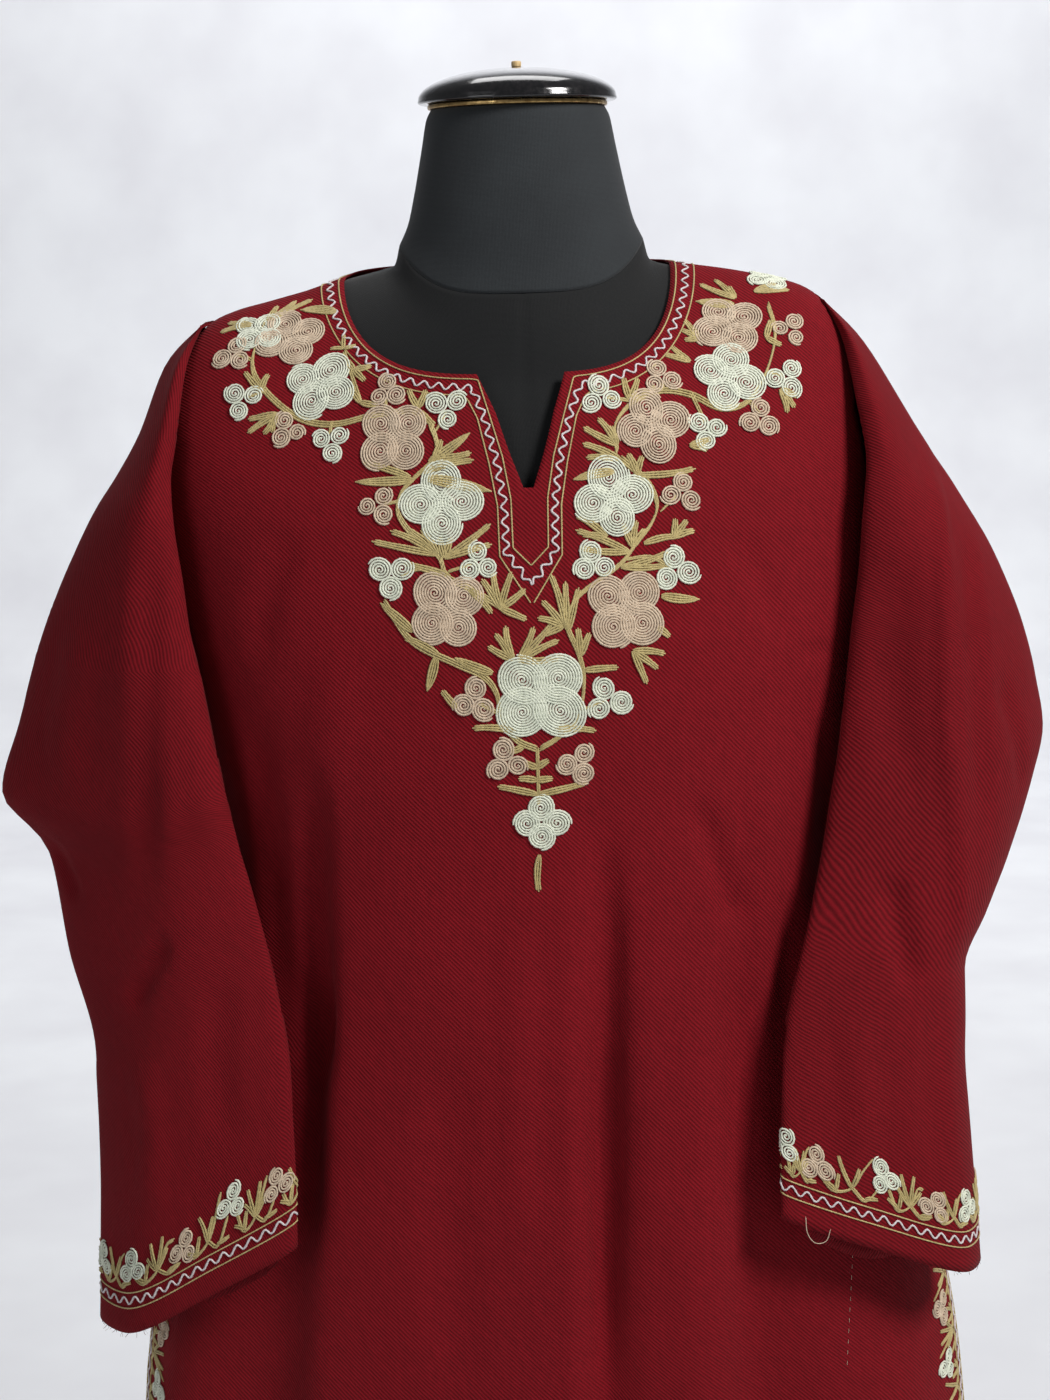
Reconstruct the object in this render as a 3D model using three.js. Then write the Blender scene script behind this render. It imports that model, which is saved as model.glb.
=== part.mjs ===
// A pheran, the loose wool tunic of Kashmir, hanging on a limbless dress form with its stand.
//
// Millimetres, +Z up. The wearer faces -Y, so the wearer's left is +X. The origin is the middle
// of the stand's foot, on the floor.
//
// The garment is cut as four pieces: a front with a round neck and a notched neck slit, a back,
// and two straight sleeves. The front and the back lie on one body surface, which is a stack of
// rings round the form. Each sleeve is a stack of sections that starts on the armhole, folds
// forward over it and hangs down as a flat tube. Every cloth piece is a wall of even thickness.
import * as THREE from 'three';

const clothWall = 1.6;
const seamGap = 0.3;
const armholeGap = 0.6; // wider, because the armhole runs aslant to the rings
const formGap = 0.3;
const degrees = Math.PI / 180;

// ---------------------------------------------------------------- materials

const finish = {
  wool: new THREE.MeshStandardMaterial({ color: 0x6e1820, roughness: 0.9, metalness: 0 }),
  jersey: new THREE.MeshStandardMaterial({ color: 0x272b2e, roughness: 0.85, metalness: 0 }),
  lacquer: new THREE.MeshStandardMaterial({ color: 0x0d0d0f, roughness: 0.18, metalness: 0 }),
  brass: new THREE.MeshStandardMaterial({ color: 0xa98a55, roughness: 0.35, metalness: 1 }),
  wood: new THREE.MeshStandardMaterial({ color: 0xd9bf86, roughness: 0.6, metalness: 0 }),
  steel: new THREE.MeshStandardMaterial({ color: 0x1b1c1e, roughness: 0.4, metalness: 0.6 }),
};

// ---------------------------------------------------------------- tables

// A table is a list of rows, and each number in a row is known by its column's name.
const table = (columns, rows) =>
  rows.map((values) => Object.fromEntries(columns.split(' ').map((name, i) => [name, values[i]])));

// Rings of the cloth's outer face, from the neckline to the hem. z is the height at the front,
// the side and the back, and half, front and back are the reach from the middle axis. square is
// 2 for an ellipse and more for a boxier ring, fall shapes how the ring drops from side to front,
// shift leans both sides towards the wearer's right and tilt lifts the wearer's left. frontEdge
// and backEdge are where the front and the back piece end, in degrees from the middle front and
// the middle back. They add up to 180 along a seam, and to less at the armhole and the side slit.
const ringColumns = 'zFront zSide zBack half front back square fall shift tilt frontEdge backEdge at';
const bodyRings = table(ringColumns, [
  [1331, 1395, 1400, 107, 86, 66, 2.5, 0.5, -10, 2, 90, 90, 'neckline'],
  [1297, 1385, 1366, 153, 98, 81, 2.5, 0.66, -6, 4.5, 90, 90, 'yoke'],
  [1260, 1373, 1325, 197, 106, 92, 2.4, 0.9, -7, 4, 90, 90, 'shoulder tip'],
  [1237, 1318, 1283, 222, 112, 98, 2.3, 0.9, -8, 0, 74, 74, 'armhole top'],
  [1211, 1262, 1241, 218, 117, 101, 2.3, 0.9, -8, 0, 73, 74, 'armhole middle'],
  [1184, 1208, 1198, 217, 121, 102, 2.3, 0.9, -6, 0, 73, 79, 'armhole low'],
  [1155, 1155, 1155, 216, 125, 101, 2.3, 0.9, -4, 0, 78, 102, 'underarm'],
  [1085, 1085, 1085, 212, 127, 98, 2.2, 1, -3, 0, 79, 101, 'bust'],
  [1000, 1000, 1000, 210, 128, 98, 2.2, 1, 0, 0, 81, 99, 'waist'],
  [900, 900, 900, 230, 130, 104, 2.2, 1, 0, 0, 84, 96, 'high hip'],
  [810, 810, 810, 254, 134, 111, 2.2, 1, 0, 0, 87, 93, 'hip'],
  [752, 752, 752, 268, 136, 116, 2.2, 1, 0, 0, 88.5, 91.5, 'slit top'],
  [640, 640, 640, 286, 141, 124, 2.2, 1, 0, 0, 87, 89.5, 'thigh'],
  [480, 480, 480, 303, 147, 133, 2.15, 1, 0, 0, 85.5, 88, 'knee'],
  [330, 330, 330, 318, 152, 141, 2.1, 1, 0, 0, 84, 86.5, 'hem'],
]);
const ring = Object.fromEntries(bodyRings.map((row, index) => [row.at, index]));

// Long soft folds that fall from the bust and the shoulder blades. A fold runs between two
// heights, and its middle moves from angleHigh to angleLow, in degrees from the middle front
// towards the wearer's left. A negative depth is a trough.
const bodyFolds = table('high low angleHigh angleLow width depth', [
  [1120, 560, 24, 21, 15, -9],
  [1090, 700, 40, 40, 10, 5],
  [1080, 700, 49, 47, 12, -13],
  [1120, 760, -49, -50, 12, -13],
  [1010, 400, -66, -68, 12, 7],
  [980, 380, 64, 68, 12, 7],
  [700, 330, -20, -24, 20, -8],
  [1100, 330, 136, 140, 15, -11],
  [1050, 330, 163, 166, 14, -8],
  [1120, 330, 206, 202, 16, -12],
  [1000, 330, 231, 229, 12, -8],
]);

// Half the width of the neck slit, by the height of its two edges.
const neckSlit = table('z half', [
  [1331, 28],
  [1308, 18.5],
  [1283, 11],
  [1260, 3.2],
]);

// Sections of a sleeve, from the shoulder tip to the cuff, for the wearer's left arm and then the
// right. x is the distance from the middle plane on either side. in is the forward fold beside
// the body, tuck lies behind it, ridge and out are the corners of the front layer, back is on
// the hind layer and under is the underarm seam. Down to the underarm a section has no under:
// it starts and ends on the armhole, on the body ring named by ringAt.
const armholeColumns = 'ringAt z inX inY tuckX tuckY ridgeX ridgeY outX outY backX backY';
const armColumns = 'z inX inY tuckX tuckY ridgeX ridgeY outX outY backX backY underX underY';
const leftSleeve = [
  ...table(armholeColumns, [
    [2, 1374, 193, -3, 193, -1, 192, -3, 193, 0, 192, 4],
    [2.5, 1345, 212, -40, 210, -35, 216, -28, 221, -2, 213, 28],
    [3, 1301, 214, -68, 213, -60, 232, -58, 248, -8, 230, 38],
    [3.5, 1270, 212, -79, 213, -63, 243, -68, 266, -8, 236, 42],
    [4, 1243, 210, -83, 213, -63, 256, -76, 284, -6, 244, 44],
    [5, 1199, 204, -86, 209, -63, 270, -84, 309, -4, 254, 42],
    [6, 1155, 196, -88, 204, -64, 278, -90, 327, -4, 262, 36],
  ]),
  ...table(armColumns, [
    [1118, 190, -90, 200, -68, 281, -93, 337, -5, 267, 30, 216, -36],
    [1089, 187, -92, 197, -71, 283, -95, 341, -10, 268, 24, 216, -42],
    [1039, 179, -97, 189, -78, 282, -98, 326, -20, 265, 6, 212, -53],
    [989, 170, -104, 179, -89, 274, -101, 300, -40, 254, -20, 203, -70],
    [953, 164, -111, 171, -99, 263, -103, 279, -62, 240, -48, 192, -87],
    [909, 155, -118, 161, -109, 262, -105, 279, -68, 240, -58, 184, -97],
    [867, 150, -124, 155, -116, 266, -107, 281, -70, 242, -66, 177, -107],
    [765, 149, -137, 153, -130, 275, -110, 287, -78, 246, -82, 172, -122],
  ]),
];
const rightSleeve = [
  ...table(armholeColumns, [
    [2, 1369, 208, -2, 208, -1, 207, -2, 207, 0, 206, 4],
    [2.5, 1341, 224, -40, 222, -35, 227, -28, 234, -2, 226, 28],
    [3, 1295, 226, -68, 225, -61, 238, -60, 252, -8, 240, 38],
    [3.5, 1268, 222, -77, 223, -63, 248, -68, 270, -8, 245, 42],
    [4, 1243, 219, -81, 222, -63, 257, -75, 287, -6, 251, 44],
    [5, 1199, 212, -84, 217, -63, 262, -82, 313, -4, 260, 42],
    [6, 1155, 207, -86, 213, -64, 262, -88, 331, -4, 268, 36],
  ]),
  ...table(armColumns, [
    [1105, 198, -90, 205, -70, 258, -92, 348, -4, 275, 28, 217, -38],
    [1063, 188, -94, 196, -76, 253, -95, 363, -3, 278, 20, 214, -47],
    [1032, 183, -99, 190, -82, 252, -98, 331, -18, 270, 0, 211, -56],
    [977, 175, -107, 181, -94, 254, -104, 317, -40, 258, -24, 202, -74],
    [918, 166, -116, 171, -106, 260, -107, 299, -62, 250, -50, 190, -92],
    [842, 161, -127, 165, -119, 268, -109, 300, -68, 254, -68, 182, -109],
    [745, 163, -139, 167, -132, 280, -110, 304, -76, 258, -82, 184, -122],
  ]),
];
const sleeveBelly = 9; // how far the front layer bows forward between its two corners
const tipRing = ring['shoulder tip'];
const cornerInset = 0.09; // how far inside the armhole's corners a sleeve starts, in rings
const underarmRing = ring.underarm;
// How much lower the cuff hangs at its outer corner and its hind layer than beside the body.
const cuffSlant = { left: { inner: 22, outer: -30, hind: -22 }, right: { inner: 33, outer: -36, hind: -16 } };

// Rings of the dress form, from the neck joint to the underside, in the same terms as the cloth.
const shoulderBand = [0.04, 0.35, 0.7, 1.05, 1.4, 1.65]; // body rings that carry the cloth
const formRingColumns = 'zFront zSide zBack half front back square fall';
const torsoTop = table(formRingColumns, [
  [1380, 1412, 1424, 80, 64, 58, 2, 0.9],
  [1362, 1399, 1410, 84, 71, 60, 2.1, 0.8],
]);
const torsoRings = table(formRingColumns, [
  [1240, 1340, 1295, 183, 99, 85, 2.3, 1],
  [1190, 1250, 1225, 174, 110, 90, 2.2, 1],
  [1142, 1160, 1155, 160, 114, 86, 2.2, 1],
  [1072, 1078, 1078, 140, 97, 78, 2.1, 1],
  [1000, 1000, 1000, 124, 84, 71, 2.1, 1],
  [915, 915, 915, 150, 94, 82, 2.1, 1],
  [820, 820, 820, 168, 100, 91, 2.2, 1],
  [716, 716, 716, 163, 95, 90, 2.2, 1],
  [702, 702, 702, 157, 89, 84, 2.2, 1],
]);
const neckRings = table(formRingColumns, [
  [1498, 1498, 1498, 56.5, 51, 50, 2, 0.9],
  [1492, 1492, 1492, 59.5, 53, 52, 2, 0.9],
  [1471, 1472, 1472, 63.5, 55, 53, 2, 0.9],
  [1438, 1445, 1447, 69, 58, 54, 2, 0.9],
  [1402, 1425, 1434, 74, 60, 55, 2, 0.9],
  [1380, 1412, 1424, 80, 64, 58, 2, 0.9],
]);

const neckTop = 1498;
const capRing = { outer: 58.5, inner: 46, height: 3 };
const neckCap = { rim: 65, rise: 22, edge: 3, depth: 0.93, sole: neckTop + capRing.height + 2 * seamGap };
const capPeg = { radius: 3.2, height: 4 };
const stand = {
  footRadius: 180, footHeight: 12, collarRadius: 42, collarHeight: 14, poleRadius: 15,
  flangeRadius: 48, flangeHeight: 8,
};
const torsoBottom = 702;

// ---------------------------------------------------------------- interpolation

// A value between rows of a table, by a cubic that never swings past the rows beside it.
function between(values, at) {
  const last = values.length - 1;
  const k = Math.min(last - 1, Math.max(0, Math.floor(at)));
  const step = (i) => values[i + 1] - values[i];
  const slope = (i) => {
    if (i <= 0) return step(0);
    if (i >= last) return step(last - 1);
    const [before, after] = [step(i - 1), step(i)];
    return before * after <= 0 ? 0 : (2 * before * after) / (before + after);
  };
  const u = at - k;
  const [u2, u3] = [u * u, u * u * u];
  return (2 * u3 - 3 * u2 + 1) * values[k] + (u3 - 2 * u2 + u) * slope(k)
    + (3 * u2 - 2 * u3) * values[k + 1] + (u3 - u2) * slope(k + 1);
}

// The row of a table at a broken row number, with every number in it worked out.
function rowAt(rows, at) {
  const row = {};
  for (const column of Object.keys(rows[0])) {
    if (typeof rows[0][column] === 'number') row[column] = between(rows.map((r) => r[column]), at);
  }
  return row;
}

const mix = (a, b, share) => a + (b - a) * share;
// A seam's angle runs evenly from row to row, so that both of its pieces end together.
function seamAngle(t, column) {
  const k = Math.min(bodyRings.length - 2, Math.floor(t));
  return mix(bodyRings[k][column], bodyRings[k + 1][column], t - k);
}
const easeIn = (share) => {
  const s = Math.min(1, Math.max(0, share));
  return s * s * (3 - 2 * s);
};

// ---------------------------------------------------------------- the body surface

// A point on a ring, at an angle from the middle front towards the wearer's left.
function ringPoint(row, angle, swell = 0) {
  const [s, c] = [Math.sin(angle * degrees), Math.cos(angle * degrees)];
  const deep = c >= 0 ? row.front : row.back;
  const n = row.square;
  const reach = ((Math.abs(s) / row.half) ** n + (Math.abs(c) / deep) ** n) ** (-1 / n) + swell;
  const x = reach * s;
  const toSide = Math.min(1, Math.abs(x) / row.half);
  const drop = (1 - toSide ** 4) ** row.fall;
  const zMiddle = c >= 0 ? row.zFront : row.zBack;
  const z = mix(row.zSide + row.tilt * s, zMiddle, drop);
  return new THREE.Vector3(x + row.shift * Math.abs(s), -reach * c, z);
}

// The swell of the long folds at a height and an angle.
function foldSwell(angle, z) {
  let swell = 0;
  for (const fold of bodyFolds) {
    const down = (fold.high - z) / (fold.high - fold.low);
    if (down <= 0) continue;
    const middle = mix(fold.angleHigh, fold.angleLow, Math.min(1, down));
    const apart = Math.abs(((angle - middle + 540) % 360) - 180) / fold.width;
    if (apart < 1) swell += fold.depth * easeIn(down * 1.6) * 0.5 * (1 + Math.cos(Math.PI * apart));
  }
  return swell;
}

function bodyPoint(angle, t) {
  const row = rowAt(bodyRings, t);
  return ringPoint(row, angle, foldSwell(angle, row.zSide));
}

// The direction out of a surface point, from its neighbours on both sides.
function outwards(surface, u, v) {
  const step = 0.02;
  const alongU = surface(u + step, v).sub(surface(u - step, v));
  const alongV = surface(u, v + step * 0.2).sub(surface(u, v - step * 0.2));
  return alongV.cross(alongU).normalize();
}

// ---------------------------------------------------------------- walls

// A cloth wall from a grid of outer points and their outward directions. Points that share a
// place are one point, so a grid may close on itself or end in a corner.
function clothWallFrom(grid, wallThickness = clothWall) {
  const corners = [];
  const known = new Map();
  const cornerOf = (cell) => {
    const key = [cell.point.x, cell.point.y, cell.point.z].map((v) => v.toFixed(4)).join();
    if (!known.has(key)) {
      known.set(key, corners.length);
      const inner = cell.point.clone().addScaledVector(cell.out, -wallThickness);
      corners.push({ outer: cell.point, inner });
    }
    return known.get(key);
  };
  const ids = grid.map((line) => line.map((cell) => (cell ? cornerOf(cell) : -1)));
  const triangles = [];
  for (let j = 0; j + 1 < ids.length; j += 1) {
    for (let i = 0; i + 1 < ids[j].length; i += 1) {
      const [a, b, c, d] = [ids[j][i], ids[j][i + 1], ids[j + 1][i + 1], ids[j + 1][i]];
      if (Math.min(a, b, c, d) < 0) continue;
      const halves = (i + j) % 2 ? [[a, d, b], [b, d, c]] : [[a, d, c], [a, c, b]];
      for (const t of halves) if (new Set(t).size === 3) triangles.push(t);
    }
  }
  const count = corners.length;
  const points = [...corners.map((c) => c.outer), ...corners.map((c) => c.inner)];
  const positions = points.flatMap((p) => [p.x, p.y, p.z]);
  const faces = [];
  const edges = new Map();
  for (const [a, b, c] of triangles) {
    faces.push(a, b, c, count + a, count + c, count + b);
    for (const [p, q] of [[a, b], [b, c], [c, a]]) {
      if (edges.has(`${q},${p}`)) edges.delete(`${q},${p}`);
      else edges.set(`${p},${q}`, [p, q]);
    }
  }
  for (const [p, q] of edges.values()) faces.push(q, p, count + p, q, count + p, count + q);
  const geometry = new THREE.BufferGeometry();
  geometry.setAttribute('position', new THREE.Float32BufferAttribute(positions, 3));
  geometry.setIndex(faces);
  geometry.computeVertexNormals();
  return geometry;
}

// ---------------------------------------------------------------- front and back

// Row numbers from one ring to another, closer together where the cloth bends most.
function ringSteps(from, to, perRing) {
  const steps = [];
  for (let t = from; t < to; t += 1) {
    const parts = typeof perRing === 'function' ? perRing(t) : perRing;
    for (let i = 0; i < parts; i += 1) steps.push(t + i / parts);
  }
  return [...steps, to];
}
const stepsPerRing = (t) => (t === 2 ? 4 : t < 2 || t >= 11 ? 3 : 2);
const bodySteps = ringSteps(0, bodyRings.length - 1, stepsPerRing);
const hemRing = bodyRings.length - 1;
const slitRing = ring['slit top'];

// Where a piece ends beside a seam, half a seam gap short of the seam line.
function edgeAngle(t, column) {
  const seam = seamAngle(t, column);
  const reach = bodyPoint(column === 'frontEdge' ? seam : 180 - seam, t);
  return seam - (seamGap / 2 / Math.hypot(reach.x, reach.y)) / degrees;
}

function slitHalfAt(z) {
  const last = neckSlit[neckSlit.length - 1];
  if (z < last.z - 0.01) return 0;
  const k = Math.max(0, neckSlit.findIndex((row) => z >= row.z) - 1);
  const [high, low] = [neckSlit[k], neckSlit[k + 1]];
  return mix(low.half, high.half, Math.min(1, (z - low.z) / (high.z - low.z)));
}

const bodyCell = (angle, t) => ({ point: bodyPoint(angle, t), out: outwards(bodyPoint, angle, t) });

const frontColumns = 11;
function frontPanel() {
  return clothWallFrom(bodySteps.map((t) => {
    const row = rowAt(bodyRings, t);
    const slitHalf = slitHalfAt(row.zFront);
    const inner = Math.atan2(slitHalf, row.front) / degrees;
    const outer = edgeAngle(t, 'frontEdge');
    const half = [];
    for (let i = 0; i <= frontColumns; i += 1) half.push(mix(inner, outer, i / frontColumns));
    return [...half.toReversed().map((a) => bodyCell(-a, t)), null, ...half.map((a) => bodyCell(a, t))];
  }));
}

const backColumns = 20;
function backPanel() {
  return clothWallFrom(bodySteps.map((t) => {
    const reach = edgeAngle(t, 'backEdge');
    const line = [];
    for (let i = 0; i <= backColumns; i += 1) {
      line.push(bodyCell(180 + mix(-reach, reach, i / backColumns), t));
    }
    return line;
  }));
}

// ---------------------------------------------------------------- sleeves

// A smooth curve through points, each span taking an equal share however long it is.
function throughPoints(points, share) {
  const last = points.length - 1;
  const k = Math.min(last - 1, Math.floor(share * last));
  const pick = (i) => {
    if (i < 0) return points[0].clone().multiplyScalar(2).sub(points[1]);
    if (i > last) return points[last].clone().multiplyScalar(2).sub(points[last - 1]);
    return points[i];
  };
  const p = [pick(k - 1), pick(k), pick(k + 1), pick(k + 2)];
  const knots = [0];
  for (let i = 1; i < 4; i += 1) {
    knots.push(knots[i - 1] + Math.max(1e-3, Math.sqrt(p[i].distanceTo(p[i - 1]))));
  }
  const at = mix(knots[1], knots[2], share * last - k);
  const blend = (a, b, from, to) => a.clone().lerp(b, (at - from) / (to - from));
  const first = [0, 1, 2].map((i) => blend(p[i], p[i + 1], knots[i], knots[i + 1]));
  const second = [0, 1].map((i) => blend(first[i], first[i + 1], knots[i], knots[i + 2]));
  return blend(second[0], second[1], knots[1], knots[2]);
}

// A point of a sleeve's seam on the armhole, a seam gap off the panel in front or behind. At
// the shoulder tip and the underarm both meet a little inside the armhole's corner.
function armholeCell(side, t, isFront) {
  const [front, back] = [seamAngle(t, 'frontEdge'), seamAngle(t, 'backEdge')];
  const middle = (180 + front - back) / 2;
  if (t <= tipRing || t >= underarmRing) {
    return bodyCell(side * middle, t <= tipRing ? tipRing + cornerInset : underarmRing - cornerInset);
  }
  const edge = isFront ? front : 180 - back;
  const reach = bodyPoint(side * edge, t);
  const gap = (armholeGap / Math.hypot(reach.x, reach.y)) / degrees;
  return bodyCell(side * (isFront ? edge + gap / 2 : edge - gap / 2), t);
}

// Where a sleeve's sections lie: on the body's own steps down the armhole, then twice a row.
function sleeveSteps(rows) {
  const rowOf = (t) => {
    const k = Math.max(0, rows.findIndex((row) => row.ringAt >= t) - 1);
    return k + (t - rows[k].ringAt) / (rows[k + 1].ringAt - rows[k].ringAt);
  };
  const open = rows.filter((row) => row.ringAt !== undefined).length - 1;
  const armhole = bodySteps.filter((t) => t >= tipRing && t <= underarmRing);
  return [
    ...armhole.map((t) => ({ at: rowOf(t), t })),
    ...ringSteps(open, rows.length - 1, 1).slice(1)
      .map((at) => ({ at, t: null, hem: easeIn((at - open) / (rows.length - 1 - open)) })),
  ];
}

// One section of a sleeve, from the front of the armhole round to its back, or from the
// underarm seam round to itself.
function sleeveSection(rows, side, step, slant) {
  const row = rowAt(rows, step.at);
  const spot = (x, y, lift) => new THREE.Vector3(side * x, y, row.z + lift * (step.hem ?? 0));
  const under = spot(row.underX, row.underY, mix(slant.inner, slant.hind, 0.5));
  const start = step.t ? armholeCell(side, step.t, true).point : under;
  const end = step.t ? armholeCell(side, step.t, false).point : under;
  const bellyX = mix(row.inX, row.ridgeX, 0.5);
  const bellyY = mix(row.inY, row.ridgeY, 0.5) - sleeveBelly;
  return [
    start,
    spot(row.tuckX, row.tuckY, slant.inner),
    spot(row.inX, row.inY, slant.inner),
    spot(bellyX, bellyY, mix(slant.inner, slant.outer, 0.5)),
    spot(row.ridgeX, row.ridgeY, slant.outer),
    spot(row.outX, row.outY, slant.outer),
    spot(row.backX, row.backY, mix(slant.outer, slant.hind, 0.5)),
    spot(mix(row.backX, Math.abs(end.x), 0.5), mix(row.backY, end.y, 0.5), slant.hind),
    end,
  ];
}

const sleeveColumns = 24;
function sleeve(sections, side, slant) {
  const pit = armholeCell(side, underarmRing, true).point;
  const rows = sections.map((row) => ({ ringAt: underarmRing, underX: Math.abs(pit.x), underY: pit.y, ...row }));
  const steps = sleeveSteps(sections);
  const lines = steps.map((step) => {
    if (step.t === tipRing) return Array(sleeveColumns + 1).fill(armholeCell(side, tipRing, true).point);
    const section = sleeveSection(rows, side, step, slant);
    const shares = Array.from({ length: sleeveColumns + 1 }, (unused, i) => i / sleeveColumns);
    return shares.map((share) => throughPoints(section, share));
  });
  const grid = withOutwards(lines, side, steps.map((step) => step.t === null));
  steps.forEach((step, j) => {
    if (step.t === null || step.t >= underarmRing) return;
    grid[j][0].out = armholeCell(side, step.t, true).out;
    grid[j][sleeveColumns].out = armholeCell(side, step.t, false).out;
  });
  return clothWallFrom(side > 0 ? grid : grid.map((line) => line.toReversed()));
}

// Gives each grid point the way out of the cloth, from its neighbours. A closed line wraps
// round at its ends, and points that share a place share one direction.
function withOutwards(lines, side, closed) {
  const keyOf = (p) => [p.x, p.y, p.z].map((v) => v.toFixed(3)).join();
  const sums = new Map();
  lines.forEach((line, j) => line.forEach((p, i) => {
    const turns = line.length - 1;
    const wrap = (k) => (closed[j] ? (k + turns) % turns : Math.min(turns, Math.max(0, k)));
    const across = line[wrap(i + 1)].clone().sub(line[wrap(i - 1)]);
    const down = lines[Math.min(lines.length - 1, j + 1)][i].clone().sub(lines[Math.max(0, j - 1)][i]);
    const out = down.cross(across).normalize().multiplyScalar(side);
    sums.set(keyOf(p), out.add(sums.get(keyOf(p)) ?? new THREE.Vector3()));
  }));
  const outward = (point) => sums.get(keyOf(point)).clone().normalize();
  return lines.map((line) => line.map((point) => ({ point, out: outward(point) })));
}

// ---------------------------------------------------------------- dress form

// A closed solid through rings of points, with a fan over each end.
function closedLoft(rings) {
  const count = rings[0].length;
  const positions = rings.flat();
  const faces = [];
  for (let j = 0; j + 1 < rings.length; j += 1) {
    for (let i = 0; i < count; i += 1) {
      const [a, b] = [j * count + i, j * count + (i + 1) % count];
      faces.push(a, a + count, b, b, a + count, b + count);
    }
  }
  const cap = (ringIndex, upwards) => {
    const middle = positions.length;
    positions.push(rings[ringIndex].reduce((sum, p) => sum.add(p), new THREE.Vector3()).divideScalar(count));
    for (let i = 0; i < count; i += 1) {
      const [a, b] = [ringIndex * count + i, ringIndex * count + (i + 1) % count];
      faces.push(...(upwards ? [a, b, middle] : [b, a, middle]));
    }
  };
  cap(0, true);
  cap(rings.length - 1, false);
  const geometry = new THREE.BufferGeometry();
  const numbers = positions.flatMap((p) => [p.x, p.y, p.z]);
  geometry.setAttribute('position', new THREE.Float32BufferAttribute(numbers, 3));
  geometry.setIndex(faces);
  geometry.computeVertexNormals();
  return geometry;
}

const formColumns = 32;
const formAngles = Array.from({ length: formColumns }, (unused, i) => (i * 360) / formColumns);

// The torso. Its shoulders are the body's own rings moved in: just under the cloth along the
// shoulder line, where the cloth rests, and further in before and behind it.
const formAway = 6;
function formTorso() {
  const plainRing = (row) => formAngles.map((angle) => ringPoint({ shift: 0, tilt: 0, ...row }, angle));
  const shoulderRing = (t) => formAngles.map((angle) => {
    const { point, out } = bodyCell(angle, t);
    const away = 0.45 + formAway * (1 - Math.abs(Math.sin(angle * degrees)) ** 6);
    return point.addScaledVector(out, -clothWall - formGap - away);
  });
  const lower = ringSteps(0, torsoRings.length - 1, (t) => (t < 7 ? 2 : 1));
  return closedLoft([
    ...torsoTop.map(plainRing),
    ...shoulderBand.map(shoulderRing),
    ...lower.map((t) => plainRing(rowAt(torsoRings, t))),
  ]);
}

function formNeck() {
  const steps = ringSteps(0, neckRings.length - 1, 1);
  return closedLoft(steps.map((t) => formAngles.map((angle) => {
    const p = ringPoint({ shift: 0, tilt: 0, ...rowAt(neckRings, t) }, angle);
    p.z += (seamGap * t) / (neckRings.length - 1);
    return p;
  })));
}

// A solid turned about the middle axis, from a profile of [radius, height] pairs going up.
function turned(profile) {
  const points = profile.map(([radius, height]) => new THREE.Vector2(radius, height));
  return new THREE.LatheGeometry(points, formColumns).rotateX(90 * degrees);
}

function domedCap() {
  const { rim, rise, sole, edge, depth } = neckCap;
  const profile = [[0, sole], [rim - 1.5, sole], [rim, sole + edge * 0.4], [rim - 0.6, sole + edge]];
  const turns = 5;
  for (let i = 1; i < turns; i += 1) {
    const angle = (i / turns) * 90 * degrees;
    profile.push([(rim - 0.6) * Math.cos(angle), sole + edge + (rise - edge) * Math.sin(angle)]);
  }
  return turned([...profile, [0, sole + rise]]).scale(1, depth, 1);
}

function brassRing() {
  const { outer, inner, height } = capRing;
  const low = neckTop + seamGap;
  return turned([[inner, low], [outer, low], [outer, low + height], [inner, low + height], [inner, low]])
    .scale(1, neckCap.depth, 1);
}

function woodPeg() {
  const low = neckCap.sole + neckCap.rise + seamGap;
  const { radius, height } = capPeg;
  const high = low + height;
  return turned([[0, low], [radius, low], [radius, high - 0.8], [radius - 0.8, high], [0, high]]);
}

function standFoot() {
  const { footRadius, footHeight, collarRadius, collarHeight } = stand;
  return turned([
    [0, 0], [footRadius, 0], [footRadius, footHeight - 4], [footRadius - 5, footHeight],
    [collarRadius, footHeight], [collarRadius - 6, footHeight + 8],
    [stand.poleRadius + 6, footHeight + collarHeight], [0, footHeight + collarHeight],
  ]);
}

function standPole() {
  const low = stand.footHeight + stand.collarHeight + seamGap;
  const high = torsoBottom - seamGap * 2 - stand.flangeHeight;
  return turned([[0, low], [stand.poleRadius, low], [stand.poleRadius, high], [0, high]]);
}

function standFlange() {
  const low = torsoBottom - seamGap - stand.flangeHeight;
  const high = torsoBottom - seamGap;
  return turned([[0, low], [stand.flangeRadius - 3, low], [stand.flangeRadius, high], [0, high]]);
}

// ---------------------------------------------------------------- the whole

const pheran = new THREE.Group();
function add(name, geometry, material) {
  const mesh = new THREE.Mesh(geometry, material);
  mesh.name = name;
  pheran.add(mesh);
}

add('front_panel', frontPanel(), finish.wool);
add('back_panel', backPanel(), finish.wool.clone());
add('sleeve_left', sleeve(leftSleeve, 1, cuffSlant.left), finish.wool.clone());
add('sleeve_right', sleeve(rightSleeve, -1, cuffSlant.right), finish.wool.clone());
add('form_torso', formTorso(), finish.jersey);
add('form_neck', formNeck(), finish.jersey.clone());
add('cap_ring', brassRing(), finish.brass);
add('neck_cap', domedCap(), finish.lacquer);
add('cap_peg', woodPeg(), finish.wood);
add('stand_flange', standFlange(), finish.steel);
add('stand_pole', standPole(), finish.steel.clone());
add('stand_foot', standFoot(), finish.steel.clone());

export default pheran;
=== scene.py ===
import math
import random

import bmesh
import bpy
import numpy as np
from mathutils import Matrix, Vector
from mathutils.bvhtree import BVHTree


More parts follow.
